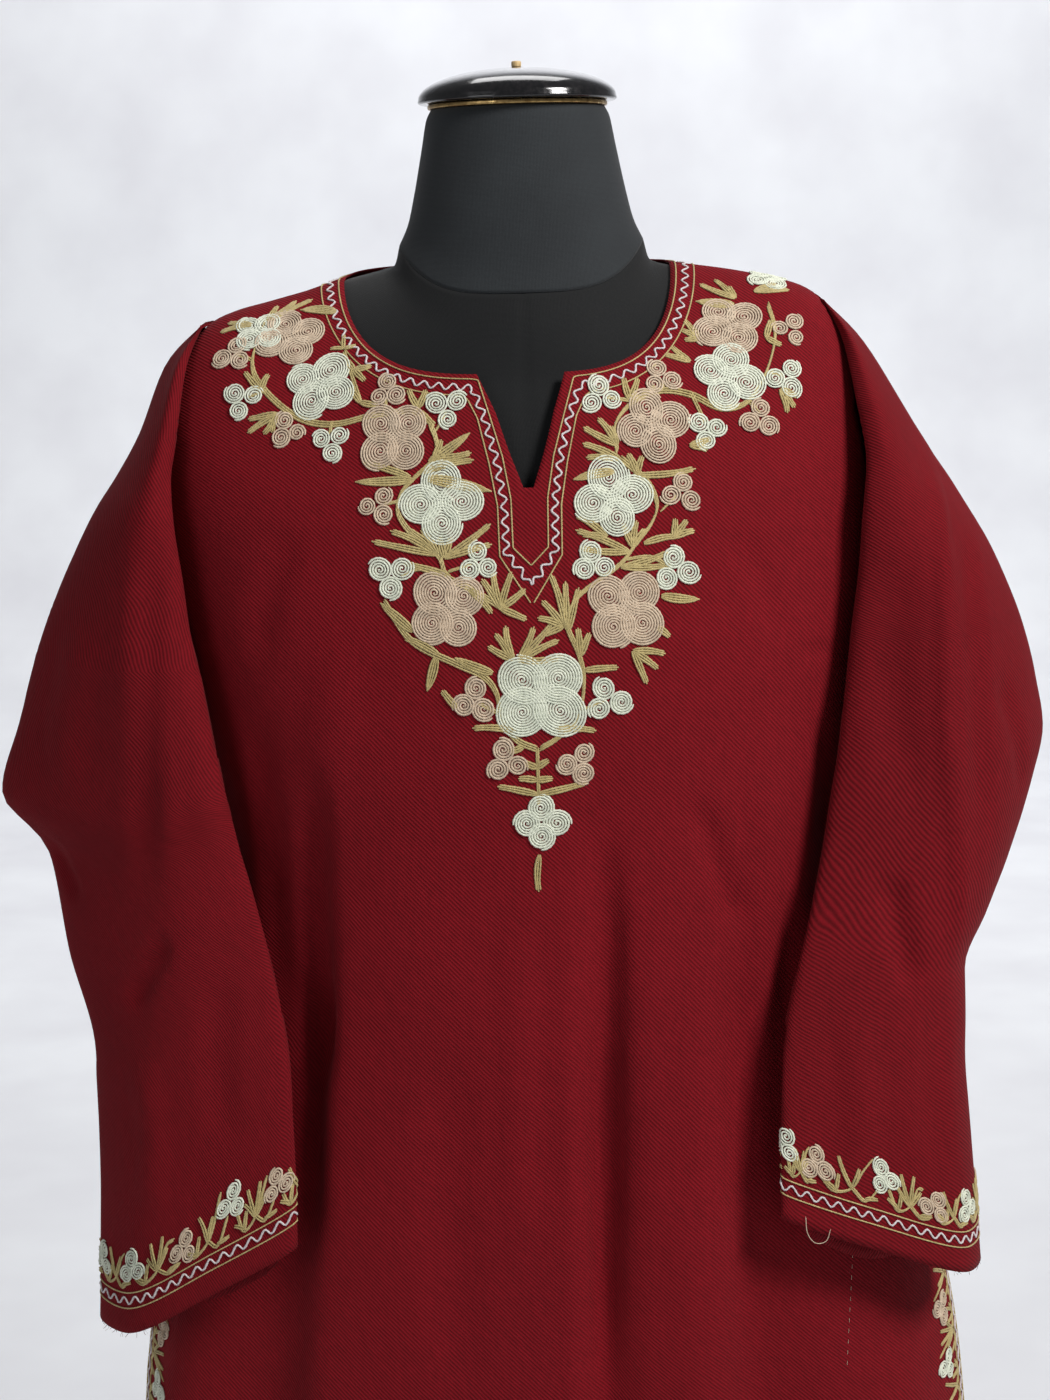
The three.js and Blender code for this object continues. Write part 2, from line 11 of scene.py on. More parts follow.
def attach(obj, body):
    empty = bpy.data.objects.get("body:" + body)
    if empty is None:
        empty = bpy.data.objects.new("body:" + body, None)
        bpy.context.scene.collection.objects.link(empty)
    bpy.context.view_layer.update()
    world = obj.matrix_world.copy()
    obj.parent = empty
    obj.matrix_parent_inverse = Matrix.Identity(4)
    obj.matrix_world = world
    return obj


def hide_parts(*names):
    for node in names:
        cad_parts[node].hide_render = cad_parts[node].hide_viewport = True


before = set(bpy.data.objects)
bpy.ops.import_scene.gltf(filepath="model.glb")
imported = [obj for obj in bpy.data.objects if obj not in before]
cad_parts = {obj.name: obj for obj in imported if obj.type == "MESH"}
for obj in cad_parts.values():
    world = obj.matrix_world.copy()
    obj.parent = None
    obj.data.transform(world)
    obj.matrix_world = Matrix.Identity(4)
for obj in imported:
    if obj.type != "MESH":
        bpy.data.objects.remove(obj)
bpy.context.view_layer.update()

mm = 0.001
degree = math.pi / 180
random.seed(7)

# the camera stands in front of the form, a little above the shoulders
camera = {"place": (-6.3, -1700, 1407), "down": 10, "lean": 1.67, "lens": 65.57}


def makeCamera():
    data = bpy.data.cameras.new("camera")
    data.lens = camera["lens"]
    data.clip_start, data.clip_end = 0.05, 30
    obj = bpy.data.objects.new("camera", data)
    bpy.context.scene.collection.objects.link(obj)
    tilt = Matrix.Rotation((90 - camera["down"]) * degree, 4, "X")
    lean = Matrix.Rotation(-camera["lean"] * degree, 4, "Z")
    obj.matrix_world = Matrix.Translation(Vector(camera["place"]) * mm) @ tilt @ lean
    bpy.context.scene.camera = obj


makeCamera()
print("camera ready")


# shader maths: a wire is a socket that can be added, multiplied and so on
class Wire:
    def __init__(self, shader, socket):
        self.shader, self.socket = shader, socket

    def maths(self, operation, *others):
        return self.shader.node("Math", {"operation": operation}, dict(enumerate((self,) + others)))

    def __add__(self, other):
        return self.maths("ADD", other)

    __radd__ = __add__

    def __mul__(self, other):
        return self.maths("MULTIPLY", other)

    __rmul__ = __mul__

    def __sub__(self, other):
        return self.maths("SUBTRACT", other)

    def __rsub__(self, other):
        return self.shader.node("Math", {"operation": "SUBTRACT"}, {0: other, 1: self})

    def wave(self):  # a full turn for each whole step, from 0 to 1
        return (self * (2 * math.pi)).maths("SINE") * 0.5 + 0.5

    def between(self, low, high, toLow=0.0, toHigh=1.0):
        values = {"Value": self, "From Min": low, "From Max": high, "To Min": toLow, "To Max": toHigh}
        return self.shader.node("MapRange", {}, values)


class Shader:
    def __init__(self, name):
        self.material = bpy.data.materials.new(name)
        self.material.use_nodes = True
        self.tree = self.material.node_tree
        self.base = self.tree.nodes["Principled BSDF"]

    def node(self, kind, setup=None, values=None, out=0):
        made = self.tree.nodes.new("ShaderNode" + kind)
        for key, value in (setup or {}).items():
            setattr(made, key, value)
        self.fill(made, values or {})
        return Wire(self, made.outputs[out])

    def fill(self, made, values):
        for key, value in values.items():
            if isinstance(value, Wire):
                self.tree.links.new(value.socket, made.inputs[key])
            else:
                made.inputs[key].default_value = value

    def place(self, kind="Object"):
        return self.node("TexCoord", out=kind)

    def stretched(self, place, scale, turn=0.0):
        values = {"Vector": place, "Scale": scale, "Rotation": (0, 0, turn)}
        return self.node("Mapping", {}, values)

    def speckle(self, place, scale, detail=2.0, rough=0.5):
        values = {"Vector": place, "Scale": scale, "Detail": detail, "Roughness": rough}
        return self.node("TexNoise", {}, values)

    def axis(self, place, name):
        return self.node("SeparateXYZ", {}, {0: place}, out=name)

    def blend(self, share, first, second):
        return self.node("Mix", {"data_type": "RGBA"}, {0: share, 6: first, 7: second}, out=2)

    def bump(self, height, depth):
        return self.node("Bump", {}, {"Height": height, "Distance": depth, "Strength": 1.0})

    def finish(self, sockets):
        self.fill(self.base, sockets)
        return self.material


def rgb(red, green, blue):  # a colour from its 0 to 255 screen values
    def linear(value):
        share = value / 255
        return share / 12.92 if share < 0.04045 else ((share + 0.055) / 1.055) ** 2.4
    return (linear(red), linear(green), linear(blue), 1.0)


def toned(colour, tone):  # the same colour, deeper where tone is under 1
    return tuple(value * tone for value in colour[:3]) + (1.0,)


# woollen twill, woven in fine slanting ribs
wool = {
    "light": rgb(136, 19, 30), "dark": rgb(90, 10, 17), "tuft": rgb(150, 46, 54),
    "ribs": 482, "slant": 45, "ribDepth": 0.00034, "fibreDepth": 0.00012,
    "sheen": 0.05, "sheenTint": rgb(226, 150, 150),
}


def woolTwill(name, tone):
    cloth = Shader(name)
    dark, light, tuft = (toned(wool[key], tone) for key in ("dark", "light", "tuft"))
    uv = cloth.place("UV")
    across, along = cloth.axis(uv, "X"), cloth.axis(uv, "Y")
    lean = wool["slant"] * degree
    over = across * (math.sin(lean) * wool["ribs"]) + along * (math.cos(lean) * wool["ribs"])
    down = across * (math.cos(lean) * 70) - along * (math.sin(lean) * 70)
    streak = cloth.speckle(cloth.node("CombineXYZ", {}, {0: over * 1.3, 1: down}), 1.0, 1.5)
    rib = (over + cloth.speckle(uv, 40, 2) * 0.7).wave() * 0.7 + streak * 0.4
    yarn = cloth.speckle(cloth.stretched(uv, (1, 0.35, 1), 0.8), 1500, 2, 0.6)
    heather = cloth.speckle(cloth.stretched(uv, (1, 0.25, 1)), 260, 4, 0.65)
    broad = cloth.speckle(cloth.place(), 7, 3, 0.5)
    shade = rib * 0.75 + yarn * 0.3 + heather * 0.3 + broad * 0.25
    colour = cloth.blend(shade.between(0.52, 1.18), dark, light)
    tufts = heather.between(0.66, 0.8) * yarn.between(0.5, 0.7)
    colour = cloth.blend(tufts * 0.35, colour, tuft)
    height = rib * wool["ribDepth"] + yarn * wool["fibreDepth"]
    return cloth.finish({
        "Base Color": colour, "Roughness": yarn.between(0.2, 0.8, 0.78, 0.95),
        "Normal": cloth.bump(height, 1.0), "Sheen Weight": wool["sheen"],
        "Sheen Roughness": 0.45, "Sheen Tint": wool["sheenTint"], "Specular IOR Level": 0.12,
    })


# embroidery thread, a soft two-ply yarn with a slight lustre
threadColours = {
    "mint": (rgb(238, 241, 222), rgb(196, 203, 184)),
    "beige": (rgb(226, 206, 180), rgb(172, 150, 126)),
    "gold": (rgb(206, 188, 130), rgb(148, 131, 80)),
    "silver": (rgb(232, 228, 228), rgb(186, 174, 174)),
}


def threadYarn(name):
    light, dark = threadColours[name]
    yarn = Shader(name + " thread")
    where = yarn.place()
    fine = yarn.speckle(where, 1900, 2, 0.6)
    broad = yarn.speckle(where, 160, 3, 0.6)
    colour = yarn.blend((fine * 0.55 + broad * 0.5).between(0.3, 0.72), dark, light)
    return yarn.finish({
        "Base Color": colour, "Roughness": fine.between(0.2, 0.8, 0.5, 0.72),
        "Normal": yarn.bump(fine, 0.00025), "Sheen Weight": 0.15, "Specular IOR Level": 0.4,
    })


# black stretch jersey over the dress form
jersey = {"light": rgb(52, 57, 60), "dark": rgb(27, 30, 33), "loops": 1100, "depth": 0.00012}


def blackJersey(name, tone):
    knit = Shader(name)
    uv = knit.place("UV")
    across, along = knit.axis(uv, "X"), knit.axis(uv, "Y")
    loops = (across * jersey["loops"]).wave() * (along * (jersey["loops"] * 1.2)).wave()
    lint = knit.speckle(knit.place(), 900, 3, 0.6)
    broad = knit.speckle(knit.place(), 14, 3, 0.5)
    shade = loops * 0.25 + lint * 0.5 + broad * 0.4
    dark, light = (toned(jersey[key], tone) for key in ("dark", "light"))
    colour = knit.blend(shade.between(0.35, 0.85), dark, light)
    return knit.finish({
        "Base Color": colour, "Roughness": lint.between(0.2, 0.8, 0.7, 0.9),
        "Normal": knit.bump(loops + lint, jersey["depth"]),
        "Sheen Weight": 0.12, "Sheen Roughness": 0.5, "Specular IOR Level": 0.3,
    })


def blackLacquer():
    coat = Shader("black lacquer")
    where = coat.place()
    dust = coat.speckle(where, 300, 3, 0.6)
    colour = coat.blend(dust.between(0.4, 0.8), rgb(13, 13, 15), rgb(30, 27, 29))
    return coat.finish({
        "Base Color": colour, "Roughness": dust.between(0.35, 0.75, 0.12, 0.24),
        "Normal": coat.bump(coat.speckle(where, 60, 2), 0.0002), "Coat Weight": 0.6,
        "Coat Roughness": 0.06,
    })


def wornBrass():
    metal = Shader("worn brass")
    patina = metal.speckle(metal.place(), 240, 4, 0.6)
    colour = metal.blend(patina.between(0.35, 0.7), rgb(202, 172, 116), rgb(126, 96, 58))
    return metal.finish({
        "Base Color": colour, "Metallic": 1.0, "Roughness": patina.between(0.3, 0.7, 0.22, 0.5),
        "Normal": metal.bump(patina, 0.0002),
    })


def paleWood():
    wood = Shader("pale wood")
    grain = wood.speckle(wood.stretched(wood.place(), (1, 1, 0.15)), 1400, 3, 0.6)
    colour = wood.blend(grain.between(0.35, 0.7), rgb(226, 200, 150), rgb(190, 152, 98))
    return wood.finish({
        "Base Color": colour, "Roughness": grain.between(0.3, 0.7, 0.45, 0.62),
        "Normal": wood.bump(grain, 0.0003),
    })


def blackSteel():
    metal = Shader("powder-coated steel")
    pores = metal.speckle(metal.place(), 1500, 2, 0.6)
    colour = metal.blend(pores.between(0.3, 0.7), rgb(24, 25, 27), rgb(44, 45, 47))
    return metal.finish({
        "Base Color": colour, "Metallic": 0.3, "Roughness": pores.between(0.3, 0.7, 0.38, 0.5),
        "Normal": metal.bump(pores, 0.0002),
    })


materials = {
    # painted shade: the sleeves' twill is the body's twill darkened to 0.88, standing in for the shade the
    # sleeves hang in
    "wool": woolTwill("maroon wool twill", 1.0), "sleeveWoolPaintedShade": woolTwill("maroon sleeve twill painted shade", 0.88),
    # painted shade: the torso's jersey is the neck's jersey darkened to 0.16, standing in for the shade
    # inside the garment
    "jersey": blackJersey("black jersey", 1.0), "torsoJerseyPaintedShade": blackJersey("black torso jersey painted shade", 0.16),
    "lacquer": blackLacquer(),
    "brass": wornBrass(), "wood": paleWood(), "steel": blackSteel(),
    **{name: threadYarn(name) for name in threadColours},
}
print("materials ready")


# tables in millimetres, one row for each ring or section
def tableOf(names, rows):
    return {name: np.array([row[k] for row in rows], float) for k, name in enumerate(names.split())}


# a cubic between rows that never swings past the rows beside it
def between(values, at):
    at = np.asarray(at, float)
    steps = np.diff(values)
    before, after = steps[:-1], steps[1:]
    total = np.where(before * after > 0, before + after, 1)
    inner = np.where(before * after > 0, 2 * before * after / total, 0)
    slopes = np.concatenate([[steps[0]], inner, [steps[-1]]])
    k = np.clip(np.floor(at).astype(int), 0, len(values) - 2)
    u = at - k
    u2, u3 = u * u, u * u * u
    return ((2 * u3 - 3 * u2 + 1) * values[k] + (u3 - 2 * u2 + u) * slopes[k]
            + (3 * u2 - 2 * u3) * values[k + 1] + (u3 - u2) * slopes[k + 1])


def rowAt(table, at):
    return {name: between(values, at) for name, values in table.items()}


def ease(share):
    s = np.clip(share, 0, 1)
    return s * s * (3 - 2 * s)


def mix(a, b, share):
    return a + (b - a) * share


def unit(vectors):
    return vectors / np.maximum(np.linalg.norm(vectors, axis=-1, keepdims=True), 1e-9)


# rings of the cloth's outer face, from the neckline to the hem
ringNames = "zFront zSide zBack half front back square fall shift tilt frontEdge backEdge"
bodyRings = tableOf(ringNames, [
    (1331, 1395, 1400, 107, 86, 66, 2.5, 0.5, -10, 2, 90, 90),  # neckline
    (1297, 1385, 1366, 153, 98, 81, 2.5, 0.66, -6, 4.5, 90, 90),  # yoke
    (1260, 1373, 1325, 197, 106, 92, 2.4, 0.9, -7, 4, 90, 90),  # shoulder tip
    (1237, 1318, 1283, 234, 112, 98, 2.3, 0.9, -8, 0, 79, 76),  # armhole
    (1211, 1262, 1241, 238, 117, 101, 2.3, 0.9, -8, 0, 81, 76),
    (1184, 1208, 1198, 237, 121, 102, 2.3, 0.9, -6, 0, 81, 82),
    (1155, 1155, 1155, 231, 125, 101, 2.3, 0.9, -4, 0, 82, 98),  # underarm
    (1085, 1085, 1085, 221, 127, 98, 2.2, 1, -3, 0, 83, 97),
    (1000, 1000, 1000, 214, 128, 98, 2.2, 1, 0, 0, 84, 96),  # waist
    (900, 900, 900, 230, 130, 104, 2.2, 1, 0, 0, 85, 95),
    (810, 810, 810, 254, 134, 111, 2.2, 1, 0, 0, 87, 93),
    (752, 752, 752, 268, 136, 116, 2.2, 1, 0, 0, 88.5, 91.5),  # slit top
    (640, 640, 640, 286, 141, 124, 2.2, 1, 0, 0, 87, 89.5),
    (480, 480, 480, 303, 147, 133, 2.15, 1, 0, 0, 85.5, 88),
    (330, 330, 330, 318, 152, 141, 2.1, 1, 0, 0, 84, 86.5),  # hem
])
tipRing, underarmRing, slitRing, hemRing = 2, 6, 11, 14

# long soft folds, in degrees from the middle front towards the wearer's left
bodyFolds = tableOf("high low angleHigh angleLow width depth", [
    (1110, 560, 18, 14, 11, -14), (1090, 700, 36, 34, 10, 5), (1080, 700, 53, 50, 11, -14),
    (1120, 700, -58, -62, 11, -16), (1010, 400, -74, -74, 8, 5), (980, 380, 66, 69, 11, 6),
    (700, 330, -20, -24, 20, -8), (1100, 330, 136, 140, 15, -11), (1050, 330, 163, 166, 14, -8),
    (1120, 330, 206, 202, 16, -12), (1000, 330, 231, 229, 12, -8),
])
neckSlit = {"z": (1260, 1283, 1308, 1331), "half": (3.2, 11, 18.5, 28)}

cloth = {
    "thick": 1.3, "seamGap": 0.06, "armholeGap": 0.1, "rowStep": 6.0, "panelColumns": 96,
    "sleeveColumns": 100, "seamDip": 1.1, "seamReach": 5.0,
}


def ringPoint(row, angle, swell=0.0):
    s, c = np.sin(angle * degree), np.cos(angle * degree)
    deep = np.where(c >= 0, row["front"], row["back"])
    n = row["square"]
    reach = ((np.abs(s) / row["half"]) ** n + (np.abs(c) / deep) ** n) ** (-1 / n) + swell
    x = reach * s
    toSide = np.minimum(1, np.abs(x) / row["half"])
    drop = (1 - toSide ** 4) ** row["fall"]
    zMiddle = np.where(c >= 0, row["zFront"], row["zBack"])
    z = mix(row["zSide"] + row.get("tilt", 0) * s, zMiddle, drop)
    return np.stack([x + row.get("shift", 0) * np.abs(s), -reach * c, z], axis=-1)


def foldSwell(angle, z):
    swell = np.zeros(np.broadcast(angle, z).shape)
    for k in range(len(bodyFolds["high"])):
        fold = {name: values[k] for name, values in bodyFolds.items()}
        down = (fold["high"] - z) / (fold["high"] - fold["low"])
        middle = mix(fold["angleHigh"], fold["angleLow"], np.clip(down, 0, 1))
        apart = np.minimum(1, np.abs((angle - middle + 540) % 360 - 180) / fold["width"])
        swell += fold["depth"] * ease(down * 1.6) * 0.5 * (1 + np.cos(np.pi * apart))
    return swell


def bodyPoint(angle, t):  # an average over nearby rings, so that no ring shows as a line
    t = np.asarray(t, float)
    spread = np.minimum(0.4, np.minimum(t, hemRing - t))
    total = 0
    for part, weight in ((-1, 1), (-0.5, 2), (0, 3), (0.5, 2), (1, 1)):
        row = rowAt(bodyRings, t + part * spread)
        total = total + weight * ringPoint(row, angle, foldSwell(angle, row["zSide"]))
    return total / 9


def bodyOut(angle, t):
    step = 0.02
    alongU = bodyPoint(angle + step, t) - bodyPoint(angle - step, t)
    alongV = bodyPoint(angle, t + step / 5) - bodyPoint(angle, t - step / 5)
    return unit(np.cross(alongV, alongU))


def seamAngle(t, name):  # even from row to row, so both pieces of a seam end together
    return np.interp(t, np.arange(hemRing + 1), bodyRings[name])


def ringSteps(first, last):
    steps = []
    for k in range(first, last):
        drop = max(abs(bodyRings[name][k] - bodyRings[name][k + 1]) for name in ("zFront", "zSide"))
        reach = abs(bodyRings["half"][k] - bodyRings["half"][k + 1])
        count = max(4, round(math.hypot(drop, reach) / cloth["rowStep"]))
        steps += [k + i / count for i in range(count)]
    return np.array(steps + [last])


# the way out of a grid of points, from the neighbours on both sides
def gridOut(points, wraps=None):
    across = np.gradient(points, axis=1)
    if wraps is not None:
        turn = (points[:, 1] - points[:, -2]) / 2
        for column in (0, -1):
            across[wraps, column] = turn[wraps]
    down = np.gradient(points, axis=0)
    return unit(np.cross(down, across))


def lengthsOf(points, axis):  # running length along a grid's rows or columns
    steps = np.linalg.norm(np.diff(points, axis=axis), axis=-1)
    start = np.zeros_like(np.take(steps, [0], axis=axis))
    return np.concatenate([start, np.cumsum(steps, axis=axis)], axis=axis)


# a crease is a stroke in front view, soft on both sides and at both ends
def creaseDepth(points, strokes, reach=1.0):
    x, z = points[..., 0], points[..., 2]
    depth = np.zeros(x.shape)
    for stroke in strokes:
        path = np.array(stroke["path"], float)
        steps = np.linalg.norm(np.diff(path, axis=0), axis=1)
        total, run = steps.sum(), 0.0
        near, where = np.full(x.shape, np.inf), np.zeros(x.shape)
        for (a, b), length in zip(zip(path[:-1], path[1:]), steps):
            share = np.clip(((x - a[0]) * (b[0] - a[0]) + (z - a[1]) * (b[1] - a[1])) / length ** 2, 0, 1)
            apart = np.hypot(x - mix(a[0], b[0], share), z - mix(a[1], b[1], share))
            closer = apart < near
            near = np.where(closer, apart, near)
            where = np.where(closer, (run + share * length) / total, where)
            run += length
        swell = stroke.get("swell", 0.25)
        taper = ease(where / swell) * ease((1 - where) / swell)
        across = np.minimum(1, near / (stroke["width"] * reach))
        depth += stroke["depth"] * taper * (1 - across ** 2) ** 2
    return depth


# slow unevenness of worn cloth, a few waves that never line up
def rumple(points, size, seed):
    draw = np.random.default_rng(seed)
    total = np.zeros(points.shape[:-1])
    for _ in range(9):
        way = unit(draw.normal(size=3)) * (2 * np.pi / (size * draw.uniform(0.6, 1.8)))
        total += np.sin(points @ way + draw.uniform(0, 2 * np.pi))
    return total / 5


# a mesh over a grid of points, with the lengths across and along it as its UV map
def gridMesh(points, lengths):
    rows, columns = points.shape[0] - 1, points.shape[1] - 1
    mesh = bmesh.new()
    bmesh.ops.create_grid(mesh, x_segments=columns, y_segments=rows, size=0.5)
    flat = np.array([vert.co[:2] for vert in mesh.verts]) + 0.5
    column = np.rint(flat[:, 0] * columns).astype(int)
    row = np.rint((1 - flat[:, 1]) * rows).astype(int)
    uvLayer = mesh.loops.layers.uv.new("cloth")
    for face in mesh.faces:
        for loop in face.loops:
            k = loop.vert.index
            loop[uvLayer].uv = lengths[row[k], column[k]] * mm
    for vert, place in zip(mesh.verts, points[row, column] * mm):
        vert.co = place
    return mesh, row, column


# a cloth piece; open says which cells of the grid are cut away
def makeSheet(name, points, lengths, material, open=None):
    mesh, row, column = gridMesh(points, lengths)
    if open is not None:
        cut = [face for face in mesh.faces
               if open(min(row[v.index] for v in face.verts), min(column[v.index] for v in face.verts))]
        bmesh.ops.delete(mesh, geom=cut, context="FACES")
    bmesh.ops.remove_doubles(mesh, verts=mesh.verts, dist=2e-6)
    bmesh.ops.dissolve_degenerate(mesh, edges=mesh.edges, dist=1e-7)
    return finishPiece(name, mesh, [material], cloth["thick"])


def finishPiece(name, mesh, finishes, thick=None):
    for face in mesh.faces:
        face.smooth = True
    data = bpy.data.meshes.new(name)
    mesh.to_mesh(data)
    mesh.free()
    for item in finishes:
        data.materials.append(item)
    obj = bpy.data.objects.new(name, data)
    bpy.context.scene.collection.objects.link(obj)
    if thick:
        wall = obj.modifiers.new("wall", "SOLIDIFY")
        wall.thickness = thick * mm
        wall.offset = -1
    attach(obj, "root")
    return obj


bodySteps = ringSteps(0, hemRing)


def edgeAngle(t, name):
    seam = seamAngle(t, name)
    reach = bodyPoint(seam if name == "frontEdge" else 180 - seam, t)
    return seam - cloth["seamGap"] / 2 / np.hypot(reach[..., 0], reach[..., 1]) / degree


# seams pull the cloth in a little
def dressEdges(points, out, fromEdge, sewn):
    dip = (1 - np.minimum(1, fromEdge / cloth["seamReach"])) ** 2 * cloth["seamDip"]
    return points - out * (dip * sewn[:, None])[..., None]


frontCreases = [
    {"path": ((42, 1060), (43, 960), (38, 820), (32, 640)), "width": 15, "depth": -7.0},
    {"path": ((-140, 1100), (-145, 1000), (-149, 860)), "width": 15, "depth": -7.5},
    {"path": ((100, 1066), (114, 1018), (130, 966)), "width": 12, "depth": -5.0},
    {"path": ((163, 1000), (160, 880), (158, 760)), "width": 20, "depth": -9},
    {"path": ((177, 1052), (174, 1012), (165, 967), (156, 934)), "width": 4, "depth": 1.5},
    {"path": ((-146, 960), (-152, 860), (-158, 760)), "width": 12, "depth": -5.0},
    {"path": ((-14, 1010), (-18, 900), (-22, 760)), "width": 18, "depth": 1.8},
    {"path": ((128, 1232), (150, 1190), (158, 1150)), "width": 13, "depth": -2.2},
    {"path": ((-150, 1240), (-168, 1196), (-176, 1150)), "width": 15, "depth": -2.6},
    {"path": ((170, 1152), (192, 1147)), "width": 6, "depth": -1.8},
    {"path": ((184, 1120), (190, 1040), (186, 980)), "width": 10, "depth": -2.4},
    {"path": ((196, 1044), (180, 1030)), "width": 6, "depth": -1.6},
    {"path": ((-180, 1130), (-172, 1010), (-176, 900)), "width": 14, "depth": -3.4},
    {"path": ((-118, 1180), (-140, 1060), (-150, 930)), "width": 22, "depth": 2.2},
    {"path": ((150, 1110), (146, 980), (150, 860)), "width": 16, "depth": 2.6},
    {"path": ((92, 1010), (84, 900), (88, 760)), "width": 20, "depth": -2.4},
    {"path": ((-60, 930), (-66, 800), (-60, 640)), "width": 26, "depth": -2.2},
    {"path": ((20, 900), (30, 760), (24, 560)), "width": 24, "depth": 1.8},
    {"path": ((-128, 640), (-140, 500), (-146, 360)), "width": 24, "depth": 3.0},
    {"path": ((118, 620), (130, 480), (128, 350)), "width": 22, "depth": -3.2},
]
backCreases = [
    {"path": ((-150, 1260), (-160, 1190), (-150, 1110)), "width": 14, "depth": -2.8},
    {"path": ((158, 1250), (164, 1180), (150, 1090)), "width": 14, "depth": -3.0},
    {"path": ((-60, 1300), (-78, 1220), (-84, 1120)), "width": 24, "depth": 2.0},
    {"path": ((70, 1290), (60, 1200), (66, 1080)), "width": 22, "depth": -2.0},
    {"path": ((-30, 1080), (-40, 900), (-36, 700)), "width": 24, "depth": -2.6},
    {"path": ((40, 1000), (52, 820), (48, 600)), "width": 20, "depth": 2.4},
    {"path": ((120, 900), (128, 700), (136, 480)), "width": 20, "depth": -2.8},
    {"path": ((-130, 860), (-140, 660), (-138, 440)), "width": 22, "depth": -2.4},
]


def panelPoints(angles, creases, seed):
    points = bodyPoint(angles, bodySteps[:, None])
    out = bodyOut(angles, bodySteps[:, None])
    down = ease((bodySteps - 1.0) / 3)[:, None]
    depth = creaseDepth(points, creases) + rumple(points, 110, seed) * (0.3 + 0.9 * down)
    return points + out * (depth + rumple(points, 34, seed + 1) * 0.22)[..., None], out


seamRows = (bodySteps <= slitRing) * 1.0  # the side edges are sewn down to the slit


# the weave hangs straight: level distance across, and height with the slope of the shoulders
def straightGrain(points, middle, side):
    level = lengthsOf(points * (1, 1, 0), 1)
    low = ease((1240 - points[..., 2]) / 150)
    across = mix(side * points[..., 0], level - level[:, middle:middle + 1], low)
    slope = np.maximum(0, 110 + side * points[..., 1]) * ease((points[..., 2] - 1210) / 130)
    return np.stack([across, points[..., 2] + slope * 0.5], axis=-1)


def buildFront():
    half = cloth["panelColumns"] // 2
    row = rowAt(bodyRings, bodySteps)
    slit = np.interp(row["zFront"], neckSlit["z"], neckSlit["half"], left=0)
    inner = np.arctan2(slit, row["front"]) / degree
    outer = edgeAngle(bodySteps, "frontEdge")
    share = np.linspace(0, 1, half + 1)
    right = mix(inner[:, None], outer[:, None], share)
    angles = np.concatenate([-right[:, ::-1], right], axis=1)
    points, out = panelPoints(angles, frontCreases, 11)
    across = lengthsOf(points, 1)
    fromEdge = np.minimum(across, across[:, -1:] - across)
    points = dressEdges(points, out, fromEdge, seamRows)
    lengths = straightGrain(points, half, 1)
    openRows = int(np.sum(slit > 0))
    obj = makeSheet("frontPanel", points, lengths, materials["wool"],
                    lambda r, c: c == half and r < openRows - 1)
    return obj, points, out


def buildBack():
    reach = edgeAngle(bodySteps, "backEdge")
    share = np.linspace(-1, 1, cloth["panelColumns"] + 1)
    angles = 180 + reach[:, None] * share
    points, out = panelPoints(angles, backCreases, 23)
    across = lengthsOf(points, 1)
    fromEdge = np.minimum(across, across[:, -1:] - across)
    points = dressEdges(points, out, fromEdge, seamRows)
    lengths = straightGrain(points, cloth["panelColumns"] // 2, -1)
    return makeSheet("backPanel", points, lengths, materials["wool"]), points, out


front, frontGrid, frontOut = buildFront()
back, backGrid, backOut = buildBack()
print("front and back ready")

# sections of a sleeve, from the shoulder tip to the cuff: the forward fold beside the body, the
# tuck behind it, the ridge and the outer corner of the front layer, the hind layer, the underarm
sleeveNames = "ringAt z inX inY tuckX tuckY ridgeX ridgeY outX outY backX backY underX underY"
pit = bodyPoint(np.array(82.0), np.array(6.0))  # where the underarm seam starts
pitX, pitY = pit[0], pit[1]
leftRows = [
    (2, 1374, 193, -3, 193, -1, 192, -3, 193, 0, 192, 4),
    (2.5, 1345, 206, -33, 207, -29, 216, -28, 221, -2, 213, 28),
    (3, 1301, 212, -61, 216, -55, 232, -58, 248, -8, 232, 38),
    (3.5, 1270, 216, -74, 220, -62, 243, -68, 266, -8, 240, 42),
    (4, 1243, 214, -83, 219, -63, 256, -76, 284, -6, 248, 44),
    (5, 1199, 210, -86, 216, -63, 270, -84, 309, -4, 258, 42),
    (6, 1155, 204, -88, 212, -64, 278, -90, 327, -4, 264, 36),
    (6, 1118, 199, -90, 208, -68, 281, -93, 337, -5, 268, 30, 223, -36),
    (6, 1089, 195, -92, 205, -71, 283, -95, 341, -10, 268, 24, 221, -42),
    (6, 1039, 187.5, -97, 197, -78, 282, -98, 326, -20, 265, 6, 216, -53),
    (6, 989, 178, -104, 187, -89, 274, -101, 300, -40, 254, -20, 206, -70),
    (6, 953, 170, -111, 178, -99, 263, -103, 279, -62, 240, -48, 194, -87),
    (6, 909, 160, -118, 166, -109, 262, -105, 279, -68, 240, -58, 186, -97),
    (6, 867, 153, -124, 158, -116, 266, -107, 281, -70, 242, -66, 178, -107),
    (6, 765, 149, -137, 153, -130, 275, -110, 287, -78, 246, -82, 172, -122),
]
